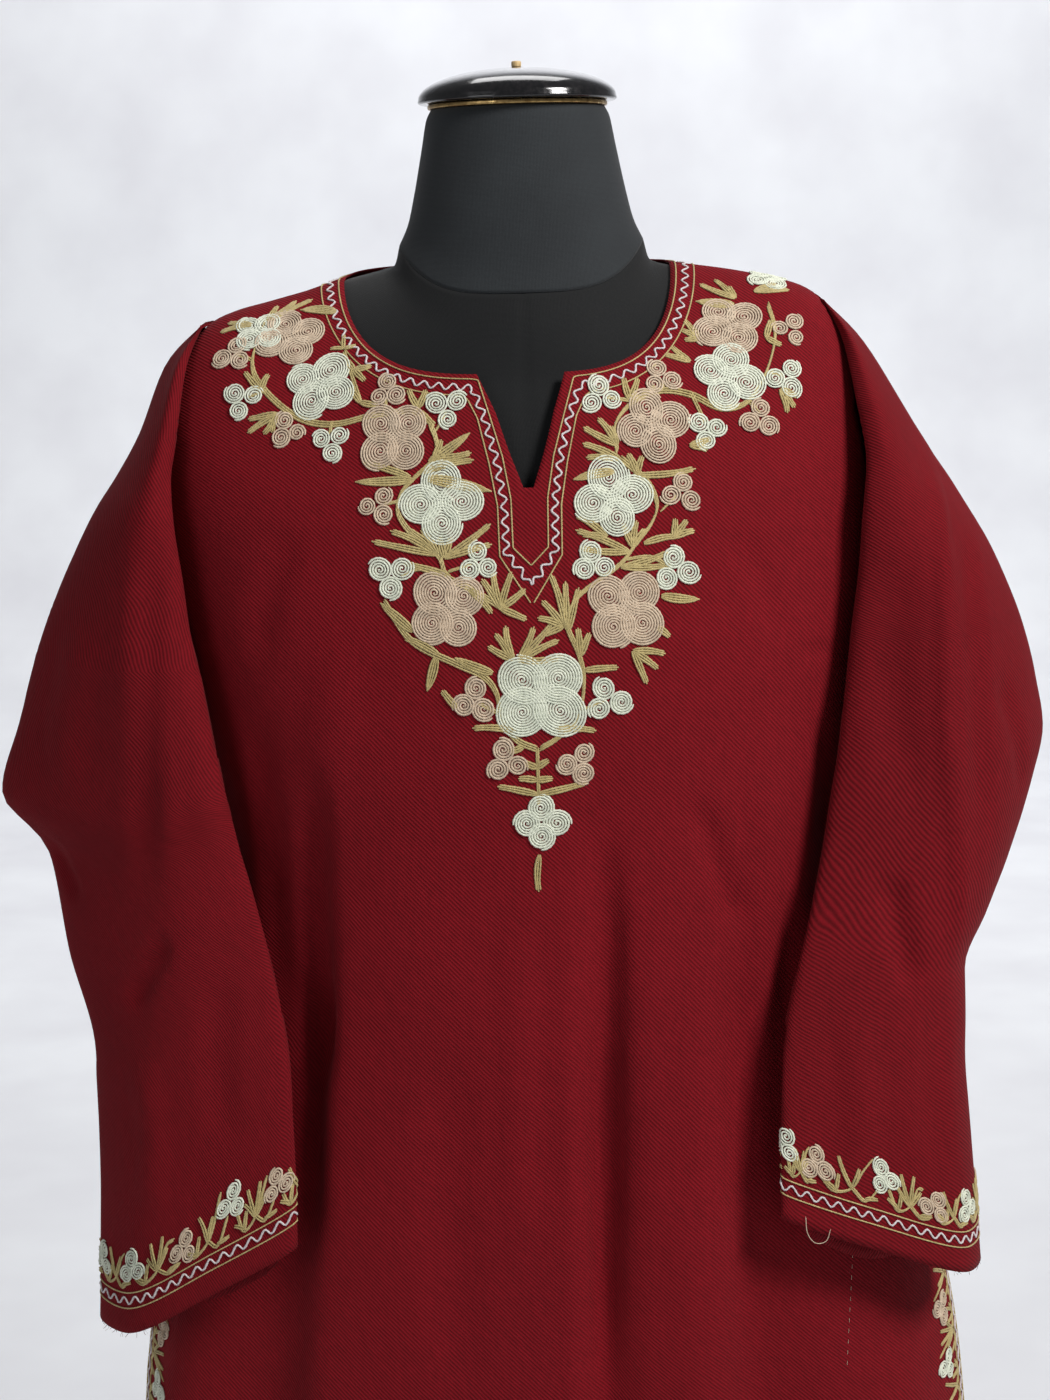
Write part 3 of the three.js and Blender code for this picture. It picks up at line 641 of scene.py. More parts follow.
rightRows = [
    (2, 1369, 208, -2, 208, -1, 207, -2, 207, 0, 206, 4),
    (2.5, 1341, 218, -40, 220, -35, 228, -28, 236, -2, 232, 28),
    (3, 1295, 224, -64, 228, -57, 240, -60, 256, -8, 248, 38),
    (3.5, 1268, 228, -73, 232, -62, 250, -68, 272, -8, 254, 42),
    (4, 1243, 227, -81, 231, -63, 259, -75, 289, -6, 258, 44),
    (5, 1199, 223, -84, 228, -63, 263, -82, 313, -4, 264, 42),
    (6, 1155, 218, -86, 224, -64, 264, -88, 331, -4, 270, 36),
    (6, 1105, 210.5, -90, 217, -70, 260, -92, 348, -4, 275, 28, 229, -38),
    (6, 1063, 202, -94, 210, -76, 255, -95, 363, -3, 278, 20, 224, -47),
    (6, 1032, 196, -99, 203, -82, 253, -98, 331, -18, 270, 0, 219, -56),
    (6, 977, 183, -107, 190, -94, 254, -104, 317, -40, 258, -24, 207, -74),
    (6, 918, 171, -116, 177, -106, 260, -107, 299, -62, 250, -50, 193, -92),
    (6, 842, 163, -127, 168, -119, 268, -109, 300, -68, 254, -68, 183, -109),
    (6, 745, 163, -139, 167, -132, 280, -110, 304, -76, 258, -82, 184, -122),
]
openRow = 6  # the last section that still ends on the armhole
leftSleeve = {
    "side": 1, "rows": leftRows, "belly": 9, "inner": 22, "outer": -30, "hind": -22, "seed": 31,
    "creases": [
        {"path": ((256, 1300), (263, 1240), (262, 1104), (270, 1020), (274, 950)), "width": 9,
         "depth": 3.1, "swell": 0.15},
        {"path": ((280, 1236), (284, 1104), (290, 1010)), "width": 12, "depth": -4.2},
        {"path": ((222, 1010), (230, 968), (240, 926)), "width": 14, "depth": -4.8},
        {"path": ((232, 1220), (228, 1130), (234, 1050)), "width": 22, "depth": -3.1},
        {"path": ((300, 1130), (316, 1080), (322, 1040)), "width": 9, "depth": -3.1},
        {"path": ((196, 930), (204, 860), (202, 800)), "width": 18, "depth": 2.5},
        {"path": ((258, 930), (250, 860), (256, 800)), "width": 16, "depth": -2.5},
    ],
}
rightSleeve = {
    "side": -1, "rows": rightRows, "belly": 9, "inner": 33, "outer": -36, "hind": -16, "seed": 43,
    "creases": [
        {"path": ((-240, 1262), (-250, 1100), (-256, 990)), "width": 16, "depth": -3.9},
        {"path": ((-238, 980), (-256, 952), (-272, 926)), "width": 10, "depth": -5.0},
        {"path": ((-326, 1030), (-316, 1010), (-304, 990)), "width": 8, "depth": -3.4},
        {"path": ((-288, 1180), (-306, 1110), (-312, 1060)), "width": 20, "depth": 3.1},
        {"path": ((-222, 1180), (-214, 1100), (-206, 1010)), "width": 18, "depth": 2.8},
        {"path": ((-206, 960), (-212, 900), (-208, 840)), "width": 18, "depth": -2.8},
        {"path": ((-262, 900), (-256, 840), (-262, 790)), "width": 16, "depth": 2.5},
    ],
}


# a smooth curve through points, evened out to equal steps along its length
def throughPoints(points, count):
    ends = [2 * points[:1] - points[1:2], points, 2 * points[-1:] - points[-2:-1]]
    p = np.concatenate(ends)
    spans = np.linspace(0, 1, 13)[:, None]
    dense = []
    for k in range(len(points) - 1):
        a, b, c, d = p[k:k + 4]
        gaps = [max(1e-3, math.sqrt(np.linalg.norm(e - f))) for e, f in ((b, a), (c, b), (d, c))]
        knots = np.concatenate([[0], np.cumsum(gaps)])
        at = mix(knots[1], knots[2], spans)
        pick = lambda one, two, low, high: one + (two - one) * (at - low) / (high - low)
        first = [pick(p[k + i], p[k + i + 1], knots[i], knots[i + 1]) for i in range(3)]
        second = [pick(first[i], first[i + 1], knots[i], knots[i + 2]) for i in range(2)]
        dense.append(pick(second[0], second[1], knots[1], knots[2])[:-1])
    dense = np.concatenate(dense + [points[-1:]])
    return evenly(dense, count)


def evenly(path, count):
    run = np.concatenate([[0], np.cumsum(np.linalg.norm(np.diff(path, axis=0), axis=1))])
    at = np.linspace(0, run[-1], count + 1)
    return np.stack([np.interp(at, run, path[:, k]) for k in range(path.shape[1])], axis=-1)


def armholePoint(side, t, isFront):
    frontEdge, backEdge = seamAngle(t, "frontEdge"), seamAngle(t, "backEdge")
    edge = frontEdge if isFront else 180 - backEdge
    reach = bodyPoint(np.array(side * edge), np.array(t))
    gap = cloth["armholeGap"] / np.hypot(reach[0], reach[1]) / degree
    middle = (180 + frontEdge - backEdge) / 2
    angle = min(edge + gap, middle) if isFront else max(edge - gap, middle)
    return bodyPoint(np.array(side * angle), np.array(t))


def buildSleeve(name, sleeve):
    side = sleeve["side"]
    rows = [row if len(row) == 14 else row + (pitX, pitY) for row in sleeve["rows"]]
    table = tableOf(sleeveNames, rows)
    last = len(rows) - 1
    armhole = bodySteps[(bodySteps >= tipRing) & (bodySteps <= underarmRing)]
    sections = [(float(np.interp(t, table["ringAt"][:openRow + 1], np.arange(openRow + 1))), t, 0.0)
                for t in armhole]
    for k in range(openRow, last):
        count = max(3, round((table["z"][k] - table["z"][k + 1]) / cloth["rowStep"]))
        for i in range(1, count + 1):
            at = k + i / count
            sections.append((at, None, float(ease((at - openRow) / (last - openRow)))))
    lines = []
    for at, t, hem in sections:
        row = {key: float(value) for key, value in rowAt(table, at).items()}
        inner, outer, hind = (sleeve[key] * hem for key in ("inner", "outer", "hind"))
        spot = lambda x, y, lift: np.array([side * x, y, row["z"] + lift])
        under = spot(row["underX"], row["underY"], (inner + hind) / 2)
        start = under if t is None else armholePoint(side, t, True)
        end = under if t is None else armholePoint(side, t, False)
        line = np.array([
            start, spot(row["tuckX"], row["tuckY"], inner), spot(row["inX"], row["inY"], inner),
            spot((row["inX"] + row["ridgeX"]) / 2, (row["inY"] + row["ridgeY"]) / 2 - sleeve["belly"],
                 (inner + outer) / 2),
            spot(row["ridgeX"], row["ridgeY"], outer), spot(row["outX"], row["outY"], outer),
            spot(row["backX"], row["backY"], (outer + hind) / 2),
            spot((row["backX"] + abs(end[0])) / 2, (row["backY"] + end[1]) / 2, hind), end,
        ])
        if t == tipRing:
            lines.append(np.repeat(start[None], cloth["sleeveColumns"] + 1, axis=0))
        else:
            lines.append(throughPoints(line, cloth["sleeveColumns"]))
    points = np.array(lines)
    closed = np.array([t is None for _, t, _ in sections])
    out = gridOut(points, closed) * side
    out[closed, 0] = out[closed, -1] = unit(out[closed, 0] + out[closed, -1])
    facing = np.where(out[..., 1:2] < 0.25, 1.0, 0.0)
    below = ease((np.array([at for at, _, _ in sections]) - 1.5) / 3)[:, None, None]
    depth = creaseDepth(points, sleeve["creases"])[..., None] * facing
    behind = np.roll(creaseDepth(points[:, ::-1], sleeve["creases"]), 5, axis=1)[..., None] * (1 - facing)
    depth = depth + behind * 0.8 + rumple(points, 70, sleeve["seed"])[..., None] * 0.7
    across = lengthsOf(points, 1)
    fade = np.minimum(1, np.minimum(across, across[:, -1:] - across) / 12)
    points = points + out * depth * below * np.where(closed[:, None], 1.0, fade)[..., None]
    across = lengthsOf(points, 1)
    points = dressEdges(points, out, np.minimum(across, across[:, -1:] - across), np.ones(len(points)))
    points[closed, -1] = points[closed, 0]
    lengths = np.stack([across - across[:, -1:] / 2, -lengthsOf(points, 0)], axis=-1)
    if side < 0:
        points, lengths, out = points[:, ::-1], lengths[:, ::-1], out[:, ::-1]
        lengths = lengths * np.array([-1, 1])
    # the sleeves take the twill darkened as painted shade
    return makeSheet(name, points, lengths, materials["sleeveWoolPaintedShade"]), points, out


sleeveLeft, leftGrid, leftOut = buildSleeve("sleeveLeft", leftSleeve)
sleeveRight, rightGrid, rightOut = buildSleeve("sleeveRight", rightSleeve)
print("sleeves ready")

# the form's torso and neck, finer than the solids and on the same rings
formNames = "zFront zSide zBack half front back square fall"
torsoTop = tableOf(formNames, [
    (1380, 1412, 1424, 80, 64, 58, 2, 0.9), (1362, 1399, 1410, 84, 71, 60, 2.1, 0.8),
])
shoulderBand = (0.04, 0.35, 0.7, 1.05, 1.4, 1.65)
torsoRings = tableOf(formNames, [
    (1240, 1340, 1295, 183, 99, 85, 2.3, 1), (1190, 1250, 1225, 174, 110, 90, 2.2, 1),
    (1142, 1160, 1155, 160, 114, 86, 2.2, 1), (1072, 1078, 1078, 140, 97, 78, 2.1, 1),
    (1000, 1000, 1000, 124, 84, 71, 2.1, 1), (915, 915, 915, 150, 94, 82, 2.1, 1),
    (820, 820, 820, 168, 100, 91, 2.2, 1), (716, 716, 716, 163, 95, 90, 2.2, 1),
    (702, 702, 702, 157, 89, 84, 2.2, 1),
])
neckRings = tableOf(formNames, [
    (1498, 1498, 1498, 56.5, 51, 50, 2, 0.9), (1492, 1492, 1492, 59.5, 53, 52, 2, 0.9),
    (1471, 1472, 1472, 63.5, 55, 53, 2, 0.9), (1438, 1445, 1447, 69, 58, 54, 2, 0.9),
    (1402, 1425, 1434, 74, 60, 55, 2, 0.9), (1380, 1412, 1424, 80, 64, 58, 2, 0.9),
])
form = {"columns": 128, "away": 6.0, "clothWall": 1.6, "gap": 0.3, "neckGap": 0.3}


def loft(name, points, finish):  # a closed body through rings, with its ends filled
    across, down = lengthsOf(points, 1), lengthsOf(points, 0)
    mesh, _, _ = gridMesh(points, np.stack([across - across[:, -1:] / 2, -down], axis=-1))
    bmesh.ops.remove_doubles(mesh, verts=mesh.verts, dist=2e-6)
    bmesh.ops.holes_fill(mesh, edges=[edge for edge in mesh.edges if edge.is_boundary], sides=0)
    bmesh.ops.recalc_face_normals(mesh, faces=mesh.faces)
    return finishPiece(name, mesh, [finish])


formAngles = np.linspace(-180, 180, form["columns"] + 1)


def formRings(table, steps):
    return [ringPoint({k: float(v) for k, v in rowAt(table, at).items()}, formAngles) for at in steps]


def buildTorso():
    def shoulder(t):
        away = 0.45 + form["away"] * (1 - np.abs(np.sin(formAngles * degree)) ** 6)
        out = bodyOut(formAngles, np.full(formAngles.shape, t))
        point = bodyPoint(formAngles, np.full(formAngles.shape, t))
        return point - out * (form["clothWall"] + form["gap"] + away)[:, None]
    first = formRings(torsoTop, (0, 1)) + [shoulder(t) for t in shoulderBand]
    rest = formRings(torsoRings, np.linspace(0, 8, 9))
    coarse = np.array(first + rest)
    at = np.linspace(0, len(coarse) - 1, 86)
    fine = np.stack([np.stack([between(coarse[:, c, k], at) for k in range(3)], axis=-1)
                     for c in range(coarse.shape[1])], axis=1)
    centre = 1 - np.minimum(1, np.abs(fine[..., 0]) / 2.2)
    seam = np.where(fine[..., 1] < 0, centre, 0) * 0.7
    fine[..., 1] += seam
    fine[:, -1] = fine[:, 0]
    # the torso takes the black jersey darkened as painted shade
    return loft("jerseyTorso", fine, materials["torsoJerseyPaintedShade"])


def buildNeck():
    steps = np.linspace(0, 5, 41)
    fine = np.array(formRings(neckRings, steps))
    fine[..., 2] += (form["neckGap"] * steps / 5)[:, None]
    fine[:, -1] = fine[:, 0]
    return loft("jerseyNeck", fine, materials["jersey"])


torso, neck = buildTorso(), buildNeck()
print("dress form ready")

# the neck cap, its brass ring and peg, and the stand, all turned
turnedParts = {
    "neckTop": 1498.0, "capRim": 65.0, "capSole": 1501.6, "capEdge": 3.0, "capRise": 22.0,
    "squash": 0.93, "ringOuter": 58.5, "ringInner": 46.0, "ringHeight": 3.0, "pegRadius": 3.2,
    "pegHeight": 4.0, "footRadius": 180.0, "footHeight": 12.0, "collar": 42.0,
    "collarHeight": 14.0, "pole": 15.0, "flange": 48.0, "flangeHeight": 8.0, "torsoBottom": 702.0,
}


def turn(name, profile, finish, turns=96, squash=1.0):
    mesh = bmesh.new()
    verts = [mesh.verts.new((radius * mm, 0, height * mm)) for radius, height in profile]
    edges = [mesh.edges.new(pair) for pair in zip(verts[:-1], verts[1:])]
    bmesh.ops.spin(mesh, geom=verts + edges, cent=(0, 0, 0), axis=(0, 0, 1), angle=2 * math.pi,
                   steps=turns, use_merge=True)
    bmesh.ops.remove_doubles(mesh, verts=mesh.verts, dist=1e-6)
    bmesh.ops.dissolve_degenerate(mesh, edges=mesh.edges, dist=1e-7)
    bmesh.ops.recalc_face_normals(mesh, faces=mesh.faces)
    bmesh.ops.scale(mesh, vec=(1, squash, 1), verts=mesh.verts)
    obj = finishPiece(name, mesh, [finish])
    obj.data.set_sharp_from_angle(angle=40 * degree)
    return obj


def rounded(points, radius=1.0, steps=3):  # eases the inner corners of a profile
    path = [points[0]]
    for before, corner, after in zip(points[:-2], points[1:-1], points[2:]):
        corner, reach = np.array(corner, float), []
        for other in (before, after):
            way = np.array(other, float) - corner
            reach.append(corner + way / np.linalg.norm(way) * min(radius, np.linalg.norm(way) / 2.2))
        for share in np.linspace(0, 1, steps + 1):
            path.append(tuple(mix(mix(reach[0], corner, share), mix(corner, reach[1], share), share)))
    return path + [points[-1]]


def buildCap():
    p = turnedParts
    dome = [(0, p["capSole"]), (p["capRim"] - 1.5, p["capSole"]), (p["capRim"], p["capSole"] + 1.2),
            (p["capRim"] - 0.6, p["capSole"] + p["capEdge"])]
    for angle in np.linspace(4, 90, 26) * degree:
        dome.append(((p["capRim"] - 0.6) * math.cos(angle),
                     p["capSole"] + p["capEdge"] + (p["capRise"] - p["capEdge"]) * math.sin(angle)))
    dome[-1] = (0, dome[-1][1])
    cap = turn("neckCap", rounded(dome[:4], 0.8) + dome[4:], materials["lacquer"], 128, p["squash"])
    low, high = p["neckTop"] + 0.3, p["neckTop"] + 0.3 + p["ringHeight"]
    hoop = [(p["ringInner"] + 5, low), (p["ringInner"], low), (p["ringInner"], high),
            (p["ringOuter"], high), (p["ringOuter"], low), (p["ringInner"] + 5, low)]
    band = turn("brassRing", rounded(hoop, 1.1), materials["brass"], 128, p["squash"])
    low = p["capSole"] + p["capRise"] + 0.3
    high = low + p["pegHeight"]
    peg = turn("woodPeg", rounded([(0, low), (p["pegRadius"], low), (p["pegRadius"], high), (0, high)], 1.1),
               materials["wood"], 32)
    return cap, band, peg


def buildStand():
    p = turnedParts
    top = p["footHeight"] + p["collarHeight"]
    foot = [(0, 0), (p["footRadius"], 0), (p["footRadius"], p["footHeight"] - 4),
            (p["footRadius"] - 5, p["footHeight"]), (p["collar"], p["footHeight"]),
            (p["collar"] - 6, p["footHeight"] + 8), (p["pole"] + 6, top), (0, top)]
    high = p["torsoBottom"] - 0.6 - p["flangeHeight"]
    pole = [(0, top + 0.3), (p["pole"], top + 0.3), (p["pole"], high), (0, high)]
    low, high = p["torsoBottom"] - 0.3 - p["flangeHeight"], p["torsoBottom"] - 0.3
    flange = [(0, low), (p["flange"] - 3, low), (p["flange"], high), (0, high)]
    return [turn(name, rounded(profile, 1.5), materials["steel"])
            for name, profile in (("standFoot", foot), ("standPole", pole), ("standFlange", flange))]


cap, band, peg = buildCap()
foot, pole, flange = buildStand()
print("cap and stand ready")

# embroidery: chain stitch in soft wool, laid as coils, filled leaves, stems and wavy lines
stitch = {
    "radius": 0.86, "pinch": 0.76, "step": 1.55, "pitch": 1.62, "lift": 0.3, "petalPad": 0.5,
    "petal": 13.0, "petalOut": 12.2, "coil": 7.7, "coilOut": 7.2, "border": 0.62,
    "wave": 2.1, "waveLength": 9.5, "leafWidth": 0.5, "leafPad": 0.35,
}
colours = ("mint", "beige", "gold", "silver")


def treeOf(*grids):  # one surface over several grids, for finding the nearest cloth
    verts, faces = [], []
    for grid in grids:
        rows, columns = grid.shape[:2]
        start = len(verts)
        verts += [Vector(point) for point in grid.reshape(-1, 3)]
        for j in range(rows - 1):
            for i in range(columns - 1):
                a = start + j * columns + i
                faces.append((a, a + 1, a + columns + 1, a + columns))
    return BVHTree.FromPolygons(verts, faces)


class Yoke:  # places stitches on the shoulders and chest, in front view
    def __init__(self, *grids):
        self.tree = treeOf(*grids)

    def spot(self, x, z):
        hit = self.tree.ray_cast(Vector((x, -400, z)), Vector((0, 1, 0)))
        if hit[0] is None:
            hit = self.tree.find_nearest(Vector((x, -60, z)))
        return hit[0], self.facing(hit)

    def facing(self, hit):
        point, normal = hit[0], hit[1]
        away = Vector((point.x * 0.35, point.y, max(0, point.z - 1250) * 0.8))
        return normal if normal.dot(away) > 0 else -normal

    def motif(self, centre, offsets):
        middle, normal = self.spot(*centre)
        across = (Vector((1, 0, 0)) - normal * normal.x).normalized()
        up = normal.cross(across)
        up = up if up.z > 0 else -up
        places = []
        for a, b in offsets:
            hit = self.tree.find_nearest(middle + across * a + up * b)
            places.append((hit[0], self.facing(hit)))
        return places

    def path(self, points):
        return [self.spot(x, z) for x, z in points]


class Band:  # places stitches by the way along an edge and the height above it
    def __init__(self, points, out, wraps):
        self.points, self.out, self.wraps = points, out, wraps
        self.columns = points.shape[1] - 1
        down = lengthsOf(points, 0)
        self.heights = down[-1] - down
        self.run = lengthsOf(points, 1)[-1]
        self.length = self.run[-1]

    def along(self, x):  # how far along the edge the front of the cloth is at x
        level = int(np.argmin(np.abs(self.heights[:, 0] - 45)))
        apart = np.abs(self.points[level, :, 0] - x) + np.where(self.out[level, :, 1] < 0, 0, 1e3)
        return float(self.run[int(np.argmin(apart))])

    def spot(self, u, v):
        u = u % self.length if self.wraps else min(max(u, 0), self.length)
        column = float(np.interp(u, self.run, np.arange(self.columns + 1)))
        low = min(int(column), self.columns - 1)
        found = []
        for k in (low, low + 1):
            row = float(np.interp(v, self.heights[::-1, k], np.arange(len(self.heights))[::-1]))
            top = min(int(row), len(self.heights) - 2)
            found.append([mix(grid[top, k], grid[top + 1, k], row - top) for grid in (self.points, self.out)])
        point, out = (mix(found[0][k], found[1][k], column - low) for k in (0, 1))
        return Vector(point), Vector(out).normalized()

    def motif(self, centre, offsets):
        return [self.spot(centre[0] + a, centre[1] + b) for a, b in offsets]

    def path(self, points):
        return [self.spot(u, v) for u, v in points]


def rotated(points, angle, centre=(0, 0)):
    c, s = math.cos(angle * degree), math.sin(angle * degree)
    points = np.asarray(points, float)
    return np.stack([points[:, 0] * c - points[:, 1] * s + centre[0],
                     points[:, 0] * s + points[:, 1] * c + centre[1]], axis=-1)


def spaced(path, step=None):  # evens a path out to the length of half a stitch
    path = np.asarray(path, float)
    length = np.linalg.norm(np.diff(path, axis=0), axis=1).sum()
    return evenly(path, max(2, round(length / (step or stitch["step"]))))


def curved(points, share=8):  # a smooth line through a few points
    p = np.asarray(points, float)
    p = np.concatenate([2 * p[:1] - p[1:2], p, 2 * p[-1:] - p[-2:-1]])
    path = []
    for k in range(1, len(p) - 2):
        for u in np.arange(share) / share:
            path.append(0.5 * (2 * p[k] + (p[k + 1] - p[k - 1]) * u
                               + (2 * p[k - 1] - 5 * p[k] + 4 * p[k + 1] - p[k + 2]) * u ** 2
                               + (3 * p[k] - p[k - 1] - 3 * p[k + 1] + p[k + 2]) * u ** 3))
    return np.array(path + [p[-2]])


# a coil sewn from its rim to its middle; egg is how much longer it is than wide
def coil(radius, egg=0.0, spin=1, start=0.0):
    turns = (radius - stitch["pitch"] / 2) / stitch["pitch"]
    count = max(12, int(math.pi * radius ** 2 / stitch["pitch"] / stitch["step"]))
    share = np.sqrt(np.linspace(1, 0.001, count))
    angle = start * degree + spin * 2 * np.pi * turns * (1 - share)
    reach = (radius - stitch["pitch"] / 2) * share
    return np.stack([reach * np.cos(angle) * (1 + egg), reach * np.sin(angle)], axis=-1)


def bloom(size, petals, angle, gap=0):  # round petals, each a coil, about a small open eye
    threads = []
    for k in range(petals):
        way = angle + k * 360 / petals + random.uniform(-5, 5)
        radius = stitch["petal"] * size * random.uniform(0.93, 1.06)
        shape = rotated(coil(radius, random.uniform(-0.02, 0.14), random.choice((-1, 1)), way + 180), 0)
        out = stitch["petalOut"] * size * random.uniform(0.98, 1.05) * (1.12 if petals > 4 else 1)
        centre = (out * math.cos(way * degree), out * math.sin(way * degree))
        threads.append(rotated(shape, way, centre))
    return threads


def trefoil(size, angle, coils=3):
    threads = []
    for k in range(coils):
        way = angle + k * 360 / coils + random.uniform(-7, 7)
        radius = stitch["coil"] * size * random.uniform(0.9, 1.08)
        out = stitch["coilOut"] * size * random.uniform(0.97, 1.1) * (1 if coils == 3 else 1.06)
        centre = (out * math.cos(way * degree), out * math.sin(way * degree))
        threads.append(rotated(coil(radius, random.uniform(-0.04, 0.1), random.choice((-1, 1))), way, centre))
    return threads


# a leaf of several rows of chain, narrow at its foot and round at its tip
def leaf(angle, length, rows=2, bend=0.0):
    threads = []
    width = (rows - 1) * stitch["pitch"] * stitch["leafWidth"]
    along = np.linspace(0, 1, 9)
    for k in range(rows):
        side = 0 if rows == 1 else -1 + 2 * k / (rows - 1)
        swell = np.sin(np.pi * np.clip(along, 0.02, 1) ** 0.75) ** 0.6
        swell = np.maximum(swell, np.where(along > 0.5, 0.75, 0.0) * (rows <= 3))
        reach = length * (1 - 0.05 * abs(side))
        sway = side * width * swell + bend * length * np.sin(np.pi * along / 1.3)
        path = np.stack([along * reach, sway], axis=-1)
        threads.append(rotated(path, angle))
    return threads


class Sewing:  # collects threads and lays them on one piece of cloth
    def __init__(self, name):
        self.name, self.threads = name, []

    def add(self, places, colour, radius=None, pad=0.0, plain=False):
        if len(places) > 1:
            self.threads.append((places, colour, radius or stitch["radius"], pad, plain))

    def motif(self, ground, centre, threads, colour, radius=None, pad=0.0):
        for thread in threads:
            self.add(ground.motif(centre, spaced(thread)), colour, radius, pad)

    def line(self, ground, points, colour, radius=None):
        self.add(ground.path(spaced(points)), colour, radius)

    def fan(self, ground, x, z, angles, lengths, rows=2, colour="gold"):
        for angle, length in zip(angles, lengths):
            bend = random.uniform(-0.08, 0.08)
            self.motif(ground, (x, z), leaf(angle, length, rows, bend), colour, pad=stitch["leafPad"])

    def build(self, finishes):
        curve = bpy.data.curves.new(self.name, "CURVE")
        curve.dimensions = "3D"
        curve.bevel_depth = mm
        curve.bevel_resolution = 0
        curve.use_fill_caps = True
        curve.twist_mode = "MINIMUM"
        for item in finishes:
            curve.materials.append(item)
        for places, colour, radius, pad, plain in self.threads:
            spline = curve.splines.new("POLY")
            spline.points.add(len(places) - 1)
            spline.material_index = colours.index(colour) if len(finishes) > 1 else 0
            spline.use_smooth = True
            for k, (point, spot) in enumerate(zip(spline.points, places)):
                high = stitch["lift"] + pad * math.sin(math.pi * min(1, k / (len(places) - 1) + 0.15))
                place = (spot[0] + spot[1] * high) * mm
                point.co = (*place, 1)
                ends = k in (0, len(places) - 1)
                point.radius = radius * (0.55 if ends else stitch["pinch"] if k % 2 and not plain else 1)
        obj = bpy.data.objects.new(self.name, curve)
        bpy.context.scene.collection.objects.link(obj)
        graph = bpy.context.evaluated_depsgraph_get()
        data = bpy.data.meshes.new_from_object(obj.evaluated_get(graph))
        bpy.data.objects.remove(obj)
        data.name = self.name
        piece = bpy.data.objects.new(self.name, data)
        bpy.context.scene.collection.objects.link(piece)
        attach(piece, "root")
        print(self.name, "has", len(self.threads), "threads and", len(data.polygons), "faces")
        return piece


# the neck border runs along the neckline, down the notch and to a point below it
border = {
    "inner": ((30, 1327.5), (23.5, 1306), (16, 1280), (11.5, 1254), (11, 1224), (0, 1213)),
    "outer": ((37, 1316), (31, 1304), (24.5, 1276), (20, 1250), (19.5, 1219), (1, 1190)),
    "wave": ((33.5, 1322), (27, 1305), (20, 1278), (15.8, 1251), (15.4, 1221), (0, 1201)),
    "innerEdge": 3.6, "outerEdge": 15.6,
}


def neckLine(grid, edge, side, corner):  # points a set way in from the neckline, shoulder to notch
    run = lengthsOf(grid, 0)
    half = grid.shape[1] // 2
    picks = range(grid.shape[1] - 1, half - 1, -1) if side > 0 else range(half)
    path = []
    for k in picks:
        point = np.array([np.interp(edge, run[:, k], grid[:, k, axis]) for axis in range(3)])
        if side * point[0] < corner:
            break
        path.append(point)
    return path


def sewBorder(sewing, yoke):
    inner, outer = border["innerEdge"], border["outerEdge"]
    lines = ((inner, "inner", "gold"), (outer, "outer", "gold"), ((inner + outer) / 2, "wave", "silver"))
    for edge, notch, colour in lines:
        for side in (-1, 1):
            arc = neckLine(frontGrid, edge, side, border[notch][0][0] + 2)
            drop = [np.array(yoke.spot(side * x, z)[0]) for x, z in border[notch]]
            layBorder(sewing, yoke, evenly(np.array(arc + drop), 260), colour)
    run = lengthsOf(backGrid, 0)
    for edge, _, colour in lines:
        arc = [np.array([np.interp(edge, run[:, k], backGrid[:, k, axis]) for axis in range(3)])
               for k in range(backGrid.shape[1])]
        layBorder(sewing, yoke, np.array(arc), colour)


def layBorder(sewing, ground, path, colour):
    path = spaced(path, 1.2)
    tangent = unit(np.gradient(path, axis=0))
    run = lengthsOf(path[:, None], 0)[:, 0]
    places = []
    for k, point in enumerate(path):
        hit = ground.tree.find_nearest(Vector(point))
        out = ground.facing(hit)
        if colour == "silver":
            sway = math.sin(2 * math.pi * run[k] / stitch["waveLength"]) * stitch["wave"]
            fade = min(1, k / 4, (len(path) - 1 - k) / 4)
            moved = hit[0] + Vector(tangent[k]).cross(out).normalized() * sway * fade
            hit = ground.tree.find_nearest(moved)
            out = ground.facing(hit)
        places.append((hit[0], out))
    sewing.add(places, colour, 0.85 if colour == "silver" else stitch["border"])


# the garland's flowers: x, z, size, turn
blooms = {
    "beige": ((-151, 1356, 0.98, 20), (-84, 1294, 1.0, 40), (-53, 1187, 1.06, 35),
              (131, 1356, 0.96, 30), (79, 1296, 1.0, 15), (58, 1184, 1.1, 50)),
    "mint": ((-131, 1326, 0.98, 60), (-55, 1253, 1.06, 0), (129, 1324, 0.98, 75), (52, 1253, 1.04, 10),
             (4, 1132, 1.27, 45), (-174, 1387, 0.72, 45), (160, 1384, 0.62, 30)),
}
trefoils = {
    "beige": ((-188, 1346, 1, 70), (-152, 1299, 0.9, 100), (-87, 1322, 0.9, 90), (-95, 1252, 0.95, 60),
              (-38, 1130, 1.02, 80), (-19, 1091, 1, 100), (171, 1352, 0.9, 60), (148, 1297, 1, 80),
              (86, 1325, 0.95, 110), (96, 1254, 0.95, 75), (26, 1088, 1, 60)),
    "mint": ((-181, 1318, 1, 130), (-124, 1291, 0.95, 40), (-50, 1311, 1, 30), (-88, 1209, 1.12, 150),
             (-33, 1216, 0.98, 95), (166, 1322, 1, 60), (113, 1292, 0.92, 20), (47, 1315, 0.98, 100),
             (39, 1213, 1, 95), (91, 1207, 1.12, 100), (46, 1128, 1.08, 110)),
}
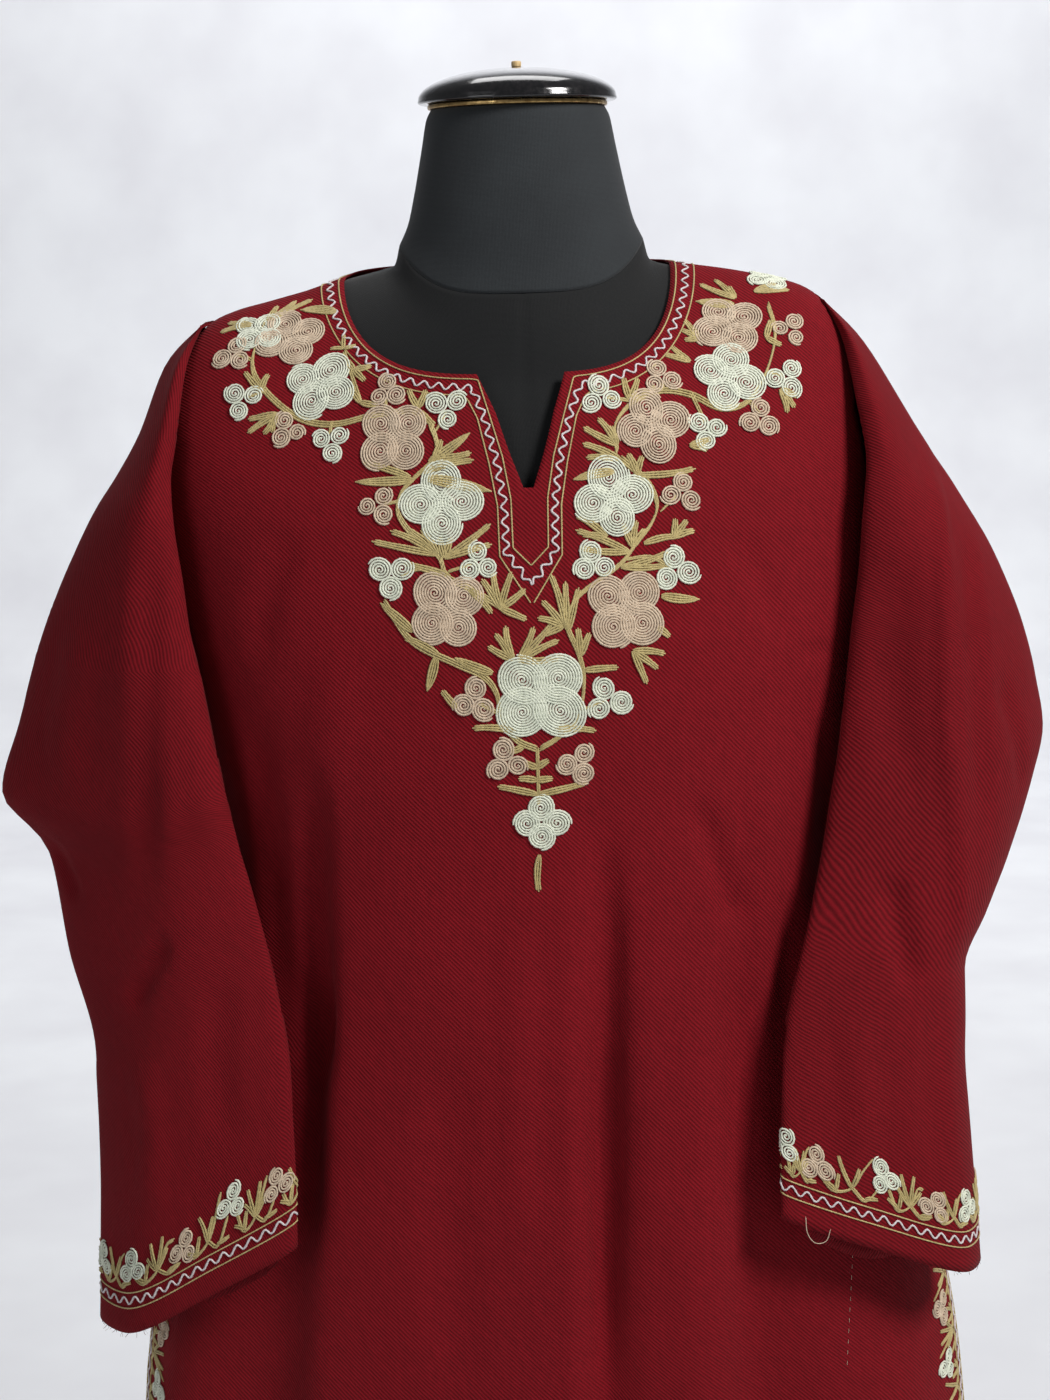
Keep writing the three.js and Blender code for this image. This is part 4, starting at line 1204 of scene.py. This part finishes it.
stems = (  # the main stems that link the flowers, from the shoulders to the point
    ((-168, 1366), (-175, 1340), (-165, 1322), (-144, 1306), (-122, 1302), (-97, 1307), (-70, 1309),
     (-58, 1300)),
    ((-61, 1302), (-57, 1290), (-60, 1279), (-72, 1268), (-81, 1258), (-82, 1246), (-72, 1232), (-58, 1221),
     (-53, 1208), (-41, 1201), (-26, 1192), (-12, 1183)),
    ((-93, 1193), (-76, 1168), (-50, 1154), (-32, 1145), (-24, 1134), (-21, 1117), (-12, 1104), (0, 1098)),
    ((158, 1368), (161, 1349), (153, 1325), (140, 1308), (123, 1305), (104, 1314), (85, 1317), (66, 1310),
     (55, 1297), (56, 1281)),
    ((58, 1277), (74, 1262), (80, 1248), (76, 1236), (66, 1224), (57, 1213), (43, 1203), (29, 1193),
     (21, 1178), (28, 1158), (31, 1141), (27, 1118), (14, 1105), (2, 1098)),
    ((-105, 1315), (-110, 1329), (-116, 1346)), ((-124, 1303), (-125, 1296)), ((-150, 1307), (-152, 1301)),
    ((-90, 1309), (-88, 1318)), ((-58, 1296), (-51, 1308)), ((-81, 1254), (-92, 1252)),
    ((-53, 1210), (-38, 1214)), ((-54, 1210), (-70, 1212), (-82, 1208)), ((82, 1243), (92, 1252)),
    ((58, 1214), (74, 1215), (87, 1208)), ((44, 1204), (38, 1211)), ((-22, 1120), (-36, 1128)),
    ((30, 1122), (44, 1127)), ((104, 1314), (112, 1296)), ((141, 1308), (147, 1300)),
    ((153, 1326), (164, 1323)), ((-166, 1323), (-178, 1319)), ((-176, 1342), (-186, 1346)),
    ((66, 1311), (50, 1314)), ((86, 1317), (86, 1323)), ((0, 1098), (0, 1062)),
)
fans = (  # x, z, rows of chain, then the way and the length of each leaf
    (-166, 1366, 3, ((72, 17), (48, 26), (30, 34))), (-121, 1371, 5, ((168, 25),)),
    (-176, 1364, 3, ((160, 18), (-176, 22))), (150, 1376, 3, ((12, 24), (32, 18))),
    (-116, 1348, 2, ((174, 9), (90, 12), (13, 9))), (-109, 1335, 3, ((8, 12), (-52, 12), (115, 9))),
    (-105, 1315, 3, ((126, 14), (-14, 13))), (-169, 1323, 3, ((125, 19), (66, 13))),
    (-158, 1309, 3, ((-176, 20), (-152, 23), (-130, 16), (-106, 13))),
    (-68, 1311, 3, ((112, 15), (68, 13))), (-59, 1280, 3, ((70, 13), (9, 24))), (-62, 1278, 4, ((35, 32),)),
    (-68, 1271, 3, ((10, 35), (25, 26))), (-64, 1268, 5, ((-14, 42),)), (-72, 1267, 4, ((178, 38),)),
    (-74, 1269, 3, ((161, 32),)), (-58, 1221, 3, ((166, 43), (154, 34), (141, 26), (122, 20))),
    (-54, 1219, 3, ((100, 14), (72, 14), (36, 36), (14, 31))), (-51, 1208, 3, ((163, 30),)),
    (-20, 1187, 3, ((122, 22), (98, 24), (70, 24), (38, 20), (-25, 18))),
    (-40, 1200, 3, ((-34, 16), (-50, 22))),
    (-13, 1155, 3, ((149, 18), (124, 20), (98, 22))), (-10, 1154, 3, ((66, 24), (46, 32), (24, 29), (6, 31))),
    (-75, 1174, 4, ((138, 28),)), (-59, 1159, 3, ((155, 25),)), (-61, 1158, 4, ((-108, 23),)),
    (-26, 1147, 4, ((155, 26),)), (-49, 1125, 3, ((128, 15),)),
    (137, 1372, 3, ((146, 26), (124, 22), (104, 12))), (136, 1368, 5, ((172, 25),)),
    (112, 1348, 3, ((120, 17), (150, 13), (-174, 10))), (105, 1334, 3, ((133, 16), (165, 17))),
    (155, 1347, 3, ((72, 15), (-24, 11))), (162, 1315, 3, ((-22, 12), (-52, 15), (-78, 16))),
    (65, 1312, 3, ((100, 16), (70, 17), (30, 21))), (56, 1285, 3, ((150, 24), (126, 21), (108, 13))),
    (58, 1276, 3, ((158, 26), (178, 22))), (68, 1267, 3, ((116, 14), (70, 12))), (66, 1266, 3, ((8, 40),)),
    (54, 1269, 4, ((-168, 27),)), (102, 1283, 3, ((18, 16), (-16, 12))),
    (48, 1229, 3, ((146, 24), (174, 16))),
    (64, 1222, 3, ((112, 16), (78, 17), (52, 14))), (62, 1219, 3, ((172, 32), (158, 37))),
    (90, 1227, 3, ((84, 12), (52, 14), (14, 14))), (71, 1224, 3, ((8, 22),)),
    (56, 1210, 3, ((18, 32), (3, 30))),
    (81, 1191, 4, ((-4, 25),)), (21, 1173, 3, ((106, 36), (90, 30))), (22, 1172, 3, ((74, 28),)),
    (19, 1175, 3, ((130, 21), (164, 17), (-156, 13))), (29, 1156, 3, ((94, 18), (66, 16))),
    (62, 1158, 3, ((-10, 21), (-38, 20), (-68, 23))), (31, 1147, 3, ((2, 22),)), (78, 1172, 3, ((-40, 10),)),
    (-12, 1110, 3, ((178, 28),)), (12, 1110, 3, ((-6, 26),)), (-8, 1100, 3, ((-160, 10),)),
    (0, 1086, 3, ((150, 9), (30, 9))), (0, 1069, 3, ((168, 26), (12, 32))),
    (0, 1078, 3, ((176, 12), (4, 10))),
    (0, 1030, 3, ((-90, 24),)),
)


def sewFront():
    sewing, yoke = Sewing("frontEmbroidery"), Yoke(frontGrid, backGrid)
    sewBorder(sewing, yoke)
    for path in stems:
        line = curved(path)
        sewing.line(yoke, line, "gold")
        if len(path) > 6:
            sewing.line(yoke, line + np.array([0.5, 1.4]), "gold")
            sewing.line(yoke, line - np.array([0.5, 1.4]), "gold")
        else:
            sewing.line(yoke, line + np.array([1.0, 1.0]), "gold")
    for x, z, rows, leaves in fans:
        sewing.fan(yoke, x, z, *zip(*leaves), rows=rows)
    for colour, rows in blooms.items():
        for x, z, size, angle in rows:
            sewing.motif(yoke, (x, z), bloom(size, 4, angle), colour, pad=stitch["petalPad"])
    for colour, rows in trefoils.items():
        for x, z, size, angle in rows:
            sewing.motif(yoke, (x, z), trefoil(size, angle), colour, pad=stitch["petalPad"])
    sewing.motif(yoke, (2, 1051), trefoil(1.2, 90, 4), "mint", pad=stitch["petalPad"])
    for k in range(11):  # the running stitches that close the pocket's mouth
        z = 746 - k * 7.2
        sewing.add(yoke.path(((200 - k * 0.5, z), (199.8 - k * 0.5, z - 2.8))), "beige", 0.22, plain=True)
    return sewing


# an edge band: two lines with a wave between, and a garland of small flowers above them
edges = {
    "lines": (17, 27.5), "wave": 2.5, "waveLength": 11, "flower": 0.9, "pitch": 37, "height": 48,
    "slitLines": (8, 20), "slitHeight": 39, "slitPitch": 41, "slitColumns": 14,
    "frays": 90, "fray": (1.2, 5.0),
}
cuffFlowers = {  # colour, x and height of the flowers on the front of each cuff
    "leftCuff": (("mint", 152, 50), ("beige", 172, 45), ("mint", 217, 51), ("beige", 251, 41),
                 ("mint", 276, 44)),
    "rightCuff": (("mint", -275, 44), ("beige", -240, 42), ("mint", -206, 55), ("beige", -173, 49)),
}


def sewLines(sewing, band, low, high, last):
    u = np.linspace(0, last, max(60, int(last / 1.2)))
    for height in (low, high):
        sewing.line(band, np.stack([u, u * 0 + height], axis=-1), "gold", stitch["border"])
    sway = np.sin(2 * np.pi * u / edges["waveLength"]) * edges["wave"]
    sewing.line(band, np.stack([u, (low + high) / 2 + sway], axis=-1), "silver", 0.85)


# flowers joined by curling stems, with a big fan of leaves and a small one by turns
def sewGarland(sewing, band, flowers, base, closed):
    for k, (colour, u, v) in enumerate(flowers):
        angle = 90 + random.uniform(-25, 25)
        sewing.motif(band, (u, v), trefoil(edges["flower"], angle), colour, pad=stitch["petalPad"])
        if k == len(flowers) - 1 and not closed:
            break
        after = flowers[(k + 1) % len(flowers)]
        gap = (after[1] - u) % band.length
        if gap < 24:
            continue
        size = min(1.0, gap / 36)
        foot, fork = u + gap * 0.5, base + 9
        stem = ((u + 3, v - 8), (u + gap * 0.24, base + 3.5), (foot, fork), (foot + gap * 0.16, fork + 13),
                (u + gap - 9 * size, after[2] + 9))
        hook = ((foot, fork), (foot + gap * 0.2, base + 3), (u + gap - 4, after[2] - 9))
        for path in (stem, hook):
            line = curved(path)
            sewing.line(band, line, "gold")
            sewing.line(band, line + np.array([0.9, 1.0]), "gold")
        if k % 2:
            sewing.fan(band, foot, fork, (128, 104, 78, 54), [n * size for n in (15, 22, 23, 16)])
        else:
            sewing.fan(band, foot, fork, (112, 70), [n * size for n in (22, 17)])
        sewing.fan(band, u + gap * 0.27, base + 5, (150, 78), [n * size for n in (10, 12)])
        sewing.fan(band, foot + gap * 0.2, base + 5, (8,), [10 * size])


def sewCuff(name, grid, out):
    sewing, band = Sewing(name), Band(grid, out, True)
    low, high = edges["lines"]
    sewLines(sewing, band, low, high, band.length)
    flowers = [(colour, band.along(x), height) for colour, x, height in cuffFlowers[name]]
    flowers.sort(key=lambda flower: flower[1])
    start, end = flowers[-1][1], flowers[0][1] + band.length
    count = max(1, round((end - start) / edges["pitch"]) - 1)
    for k in range(count):
        colour = "beige" if (k % 2 == 0) == (flowers[-1][0] == "mint") else "mint"
        way = start + (end - start) * (k + 1) / (count + 1)
        flowers.append((colour, way % band.length, edges["height"] + random.uniform(-4, 4)))
    flowers.sort(key=lambda flower: flower[1])
    sewGarland(sewing, band, flowers, high, True)
    return sewing


def sewSlit(name, grid, out, side):  # one slit edge of a panel, from the slit's top to the hem
    rows, reach = bodySteps >= slitRing, edges["slitColumns"]
    columns = slice(-reach, None) if side > 0 else slice(reach - 1, None, -1)
    band = Band(*(whole[rows][:, columns].transpose(1, 0, 2) for whole in (grid, out)), False)
    sewing = Sewing(name)
    low, high = edges["slitLines"]
    sewLines(sewing, band, low, high, band.length)
    count = int(band.length / edges["slitPitch"])
    flowers = [("beige" if k % 2 else "mint", 26 + k * edges["slitPitch"],
                edges["slitHeight"] + random.uniform(-2, 3)) for k in range(count)]
    sewing.fan(band, 6, high + 6, (100, 60, 30), (18, 22, 15))
    sewGarland(sewing, band, flowers, high - 4, False)
    return sewing


# loose fibres that stand out along a raw edge
def frayEdge(name, grid, out, seed):
    draw, sewing = np.random.default_rng(seed), Sewing(name)
    for _ in range(edges["frays"]):
        k = int(draw.integers(1, grid.shape[1] - 1))
        down = unit(grid[-1, k] - grid[-4, k])
        across = unit(grid[-1, k + 1] - grid[-1, k - 1])
        length, lean = draw.uniform(*edges["fray"]), draw.normal() * 0.6
        reach = np.linspace(0, 1, 4)[:, None] * length
        sideways = reach * lean + reach ** 2 * draw.normal() * 0.08
        path = grid[-1, k] - down * 0.8 + down * reach + across * sideways
        path = path + out[-1, k] * (reach ** 2 * draw.normal() * 0.06 - 0.6)
        sewing.add([(Vector(point), Vector(out[-1, k])) for point in path], "wool", draw.uniform(0.08, 0.16),
                   plain=True)
    return sewing


threads = [materials[name] for name in colours]
sewn = {
    "front": [sewFront().build(threads)],
    "back": [],
    "left": [sewCuff("leftCuff", leftGrid, leftOut).build(threads),
             frayEdge("leftFrays", leftGrid, leftOut, 5).build([materials["sleeveWoolPaintedShade"]])],
    "right": [sewCuff("rightCuff", rightGrid, rightOut).build(threads),
              frayEdge("rightFrays", rightGrid, rightOut, 6).build([materials["sleeveWoolPaintedShade"]])],
}
for panel, grid, out in (("front", frontGrid, frontOut), ("back", backGrid, backOut)):
    for side, word in ((-1, "First"), (1, "Last")):
        sewn[panel].append(sewSlit(panel + word + "Slit", grid, out, side).build(threads))
loose = Sewing("looseThread")
loosePath = curved(((165, 788), (166, 777), (171, 770), (178, 771), (181, 779)))
loose.add([(Vector((x, -138.5, z)), Vector((0, -1, 0))) for x, z in loosePath], "beige", 0.28, plain=True)
sewn["left"].append(loose.build([materials["beige"]]))
print("embroidery ready")

# a pale sweep of floor and wall, with soft studio light
studio = {
    "back": 6600, "cove": 1500, "wide": 15000, "front": -6500, "high": 7500,
    "paper": rgb(236, 238, 241), "shade": rgb(226, 227, 231),
    "world": (0.95, 0.97, 1.0, 1.0), "worldPower": 0.15,
    "lamps": (  # name, place, aim, size, power, colour
        ("key", (1750, -1500, 3000), (20, 0, 1300), 800, 90, (1.0, 0.98, 0.965)),
        ("fill", (-2100, -2500, 2000), (0, 0, 1150), 1700, 17, (0.97, 0.98, 1.0)),
        ("wall", (500, 3500, 5200), (500, 6600, 2400), 2600, 168, (0.99, 0.985, 1.0)),
        ("floor", (100, 2600, 5200), (300, 3900, 0), 2400, 72, (0.99, 0.98, 0.985)),
    ),
}


def sweepPaper():
    paper = Shader("pale paper")
    grain = paper.speckle(paper.place(), 3, 3, 0.5)
    colour = paper.blend(grain.between(0.35, 0.7), studio["paper"], studio["shade"])
    return paper.finish({"Base Color": colour, "Roughness": 0.95, "Specular IOR Level": 0.1})


def buildStudio():
    path = [(studio["front"], 0), (studio["back"] - studio["cove"], 0)]
    for angle in np.linspace(0, 90, 17)[1:] * degree:
        path.append((studio["back"] - studio["cove"] * (1 - math.sin(angle)),
                     studio["cove"] * (1 - math.cos(angle))))
    path.append((studio["back"], studio["high"]))
    mesh = bmesh.new()
    half = studio["wide"] / 2
    verts = [mesh.verts.new((-half * mm, y * mm, z * mm - 0.0005)) for y, z in path]
    edges = [mesh.edges.new(pair) for pair in zip(verts[:-1], verts[1:])]
    pulled = bmesh.ops.extrude_edge_only(mesh, edges=edges)["geom"]
    moved = [item for item in pulled if isinstance(item, bmesh.types.BMVert)]
    bmesh.ops.translate(mesh, verts=moved, vec=(studio["wide"] * mm, 0, 0))
    data = bpy.data.meshes.new("sweep")
    for face in mesh.faces:
        face.smooth = True
    mesh.to_mesh(data)
    mesh.free()
    data.materials.append(sweepPaper())
    sweep = bpy.data.objects.new("sweep", data)
    bpy.context.scene.collection.objects.link(sweep)
    for name, place, aim, size, power, colour in studio["lamps"]:
        lamp = bpy.data.lights.new(name, "AREA")
        lamp.size, lamp.energy, lamp.color = size * mm, power, colour
        obj = bpy.data.objects.new(name, lamp)
        obj.location = Vector(place) * mm
        obj.rotation_euler = ((Vector(aim) - Vector(place)) * mm).to_track_quat("-Z", "Y").to_euler()
        bpy.context.scene.collection.objects.link(obj)
    world = bpy.data.worlds.new("studio")
    world.use_nodes = True
    sky = world.node_tree.nodes["Background"]
    sky.inputs["Color"].default_value = studio["world"]
    sky.inputs["Strength"].default_value = studio["worldPower"]
    bpy.context.scene.world = world
    bpy.context.scene.view_settings.view_transform = "Standard"


buildStudio()
print("studio ready")

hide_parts("front_panel")
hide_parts("back_panel")
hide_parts("sleeve_left")
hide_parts("sleeve_right")
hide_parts("form_torso")
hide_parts("form_neck")
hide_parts("neck_cap")
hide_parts("cap_ring")
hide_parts("cap_peg")
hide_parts("stand_foot")
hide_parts("stand_pole")
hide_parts("stand_flange")
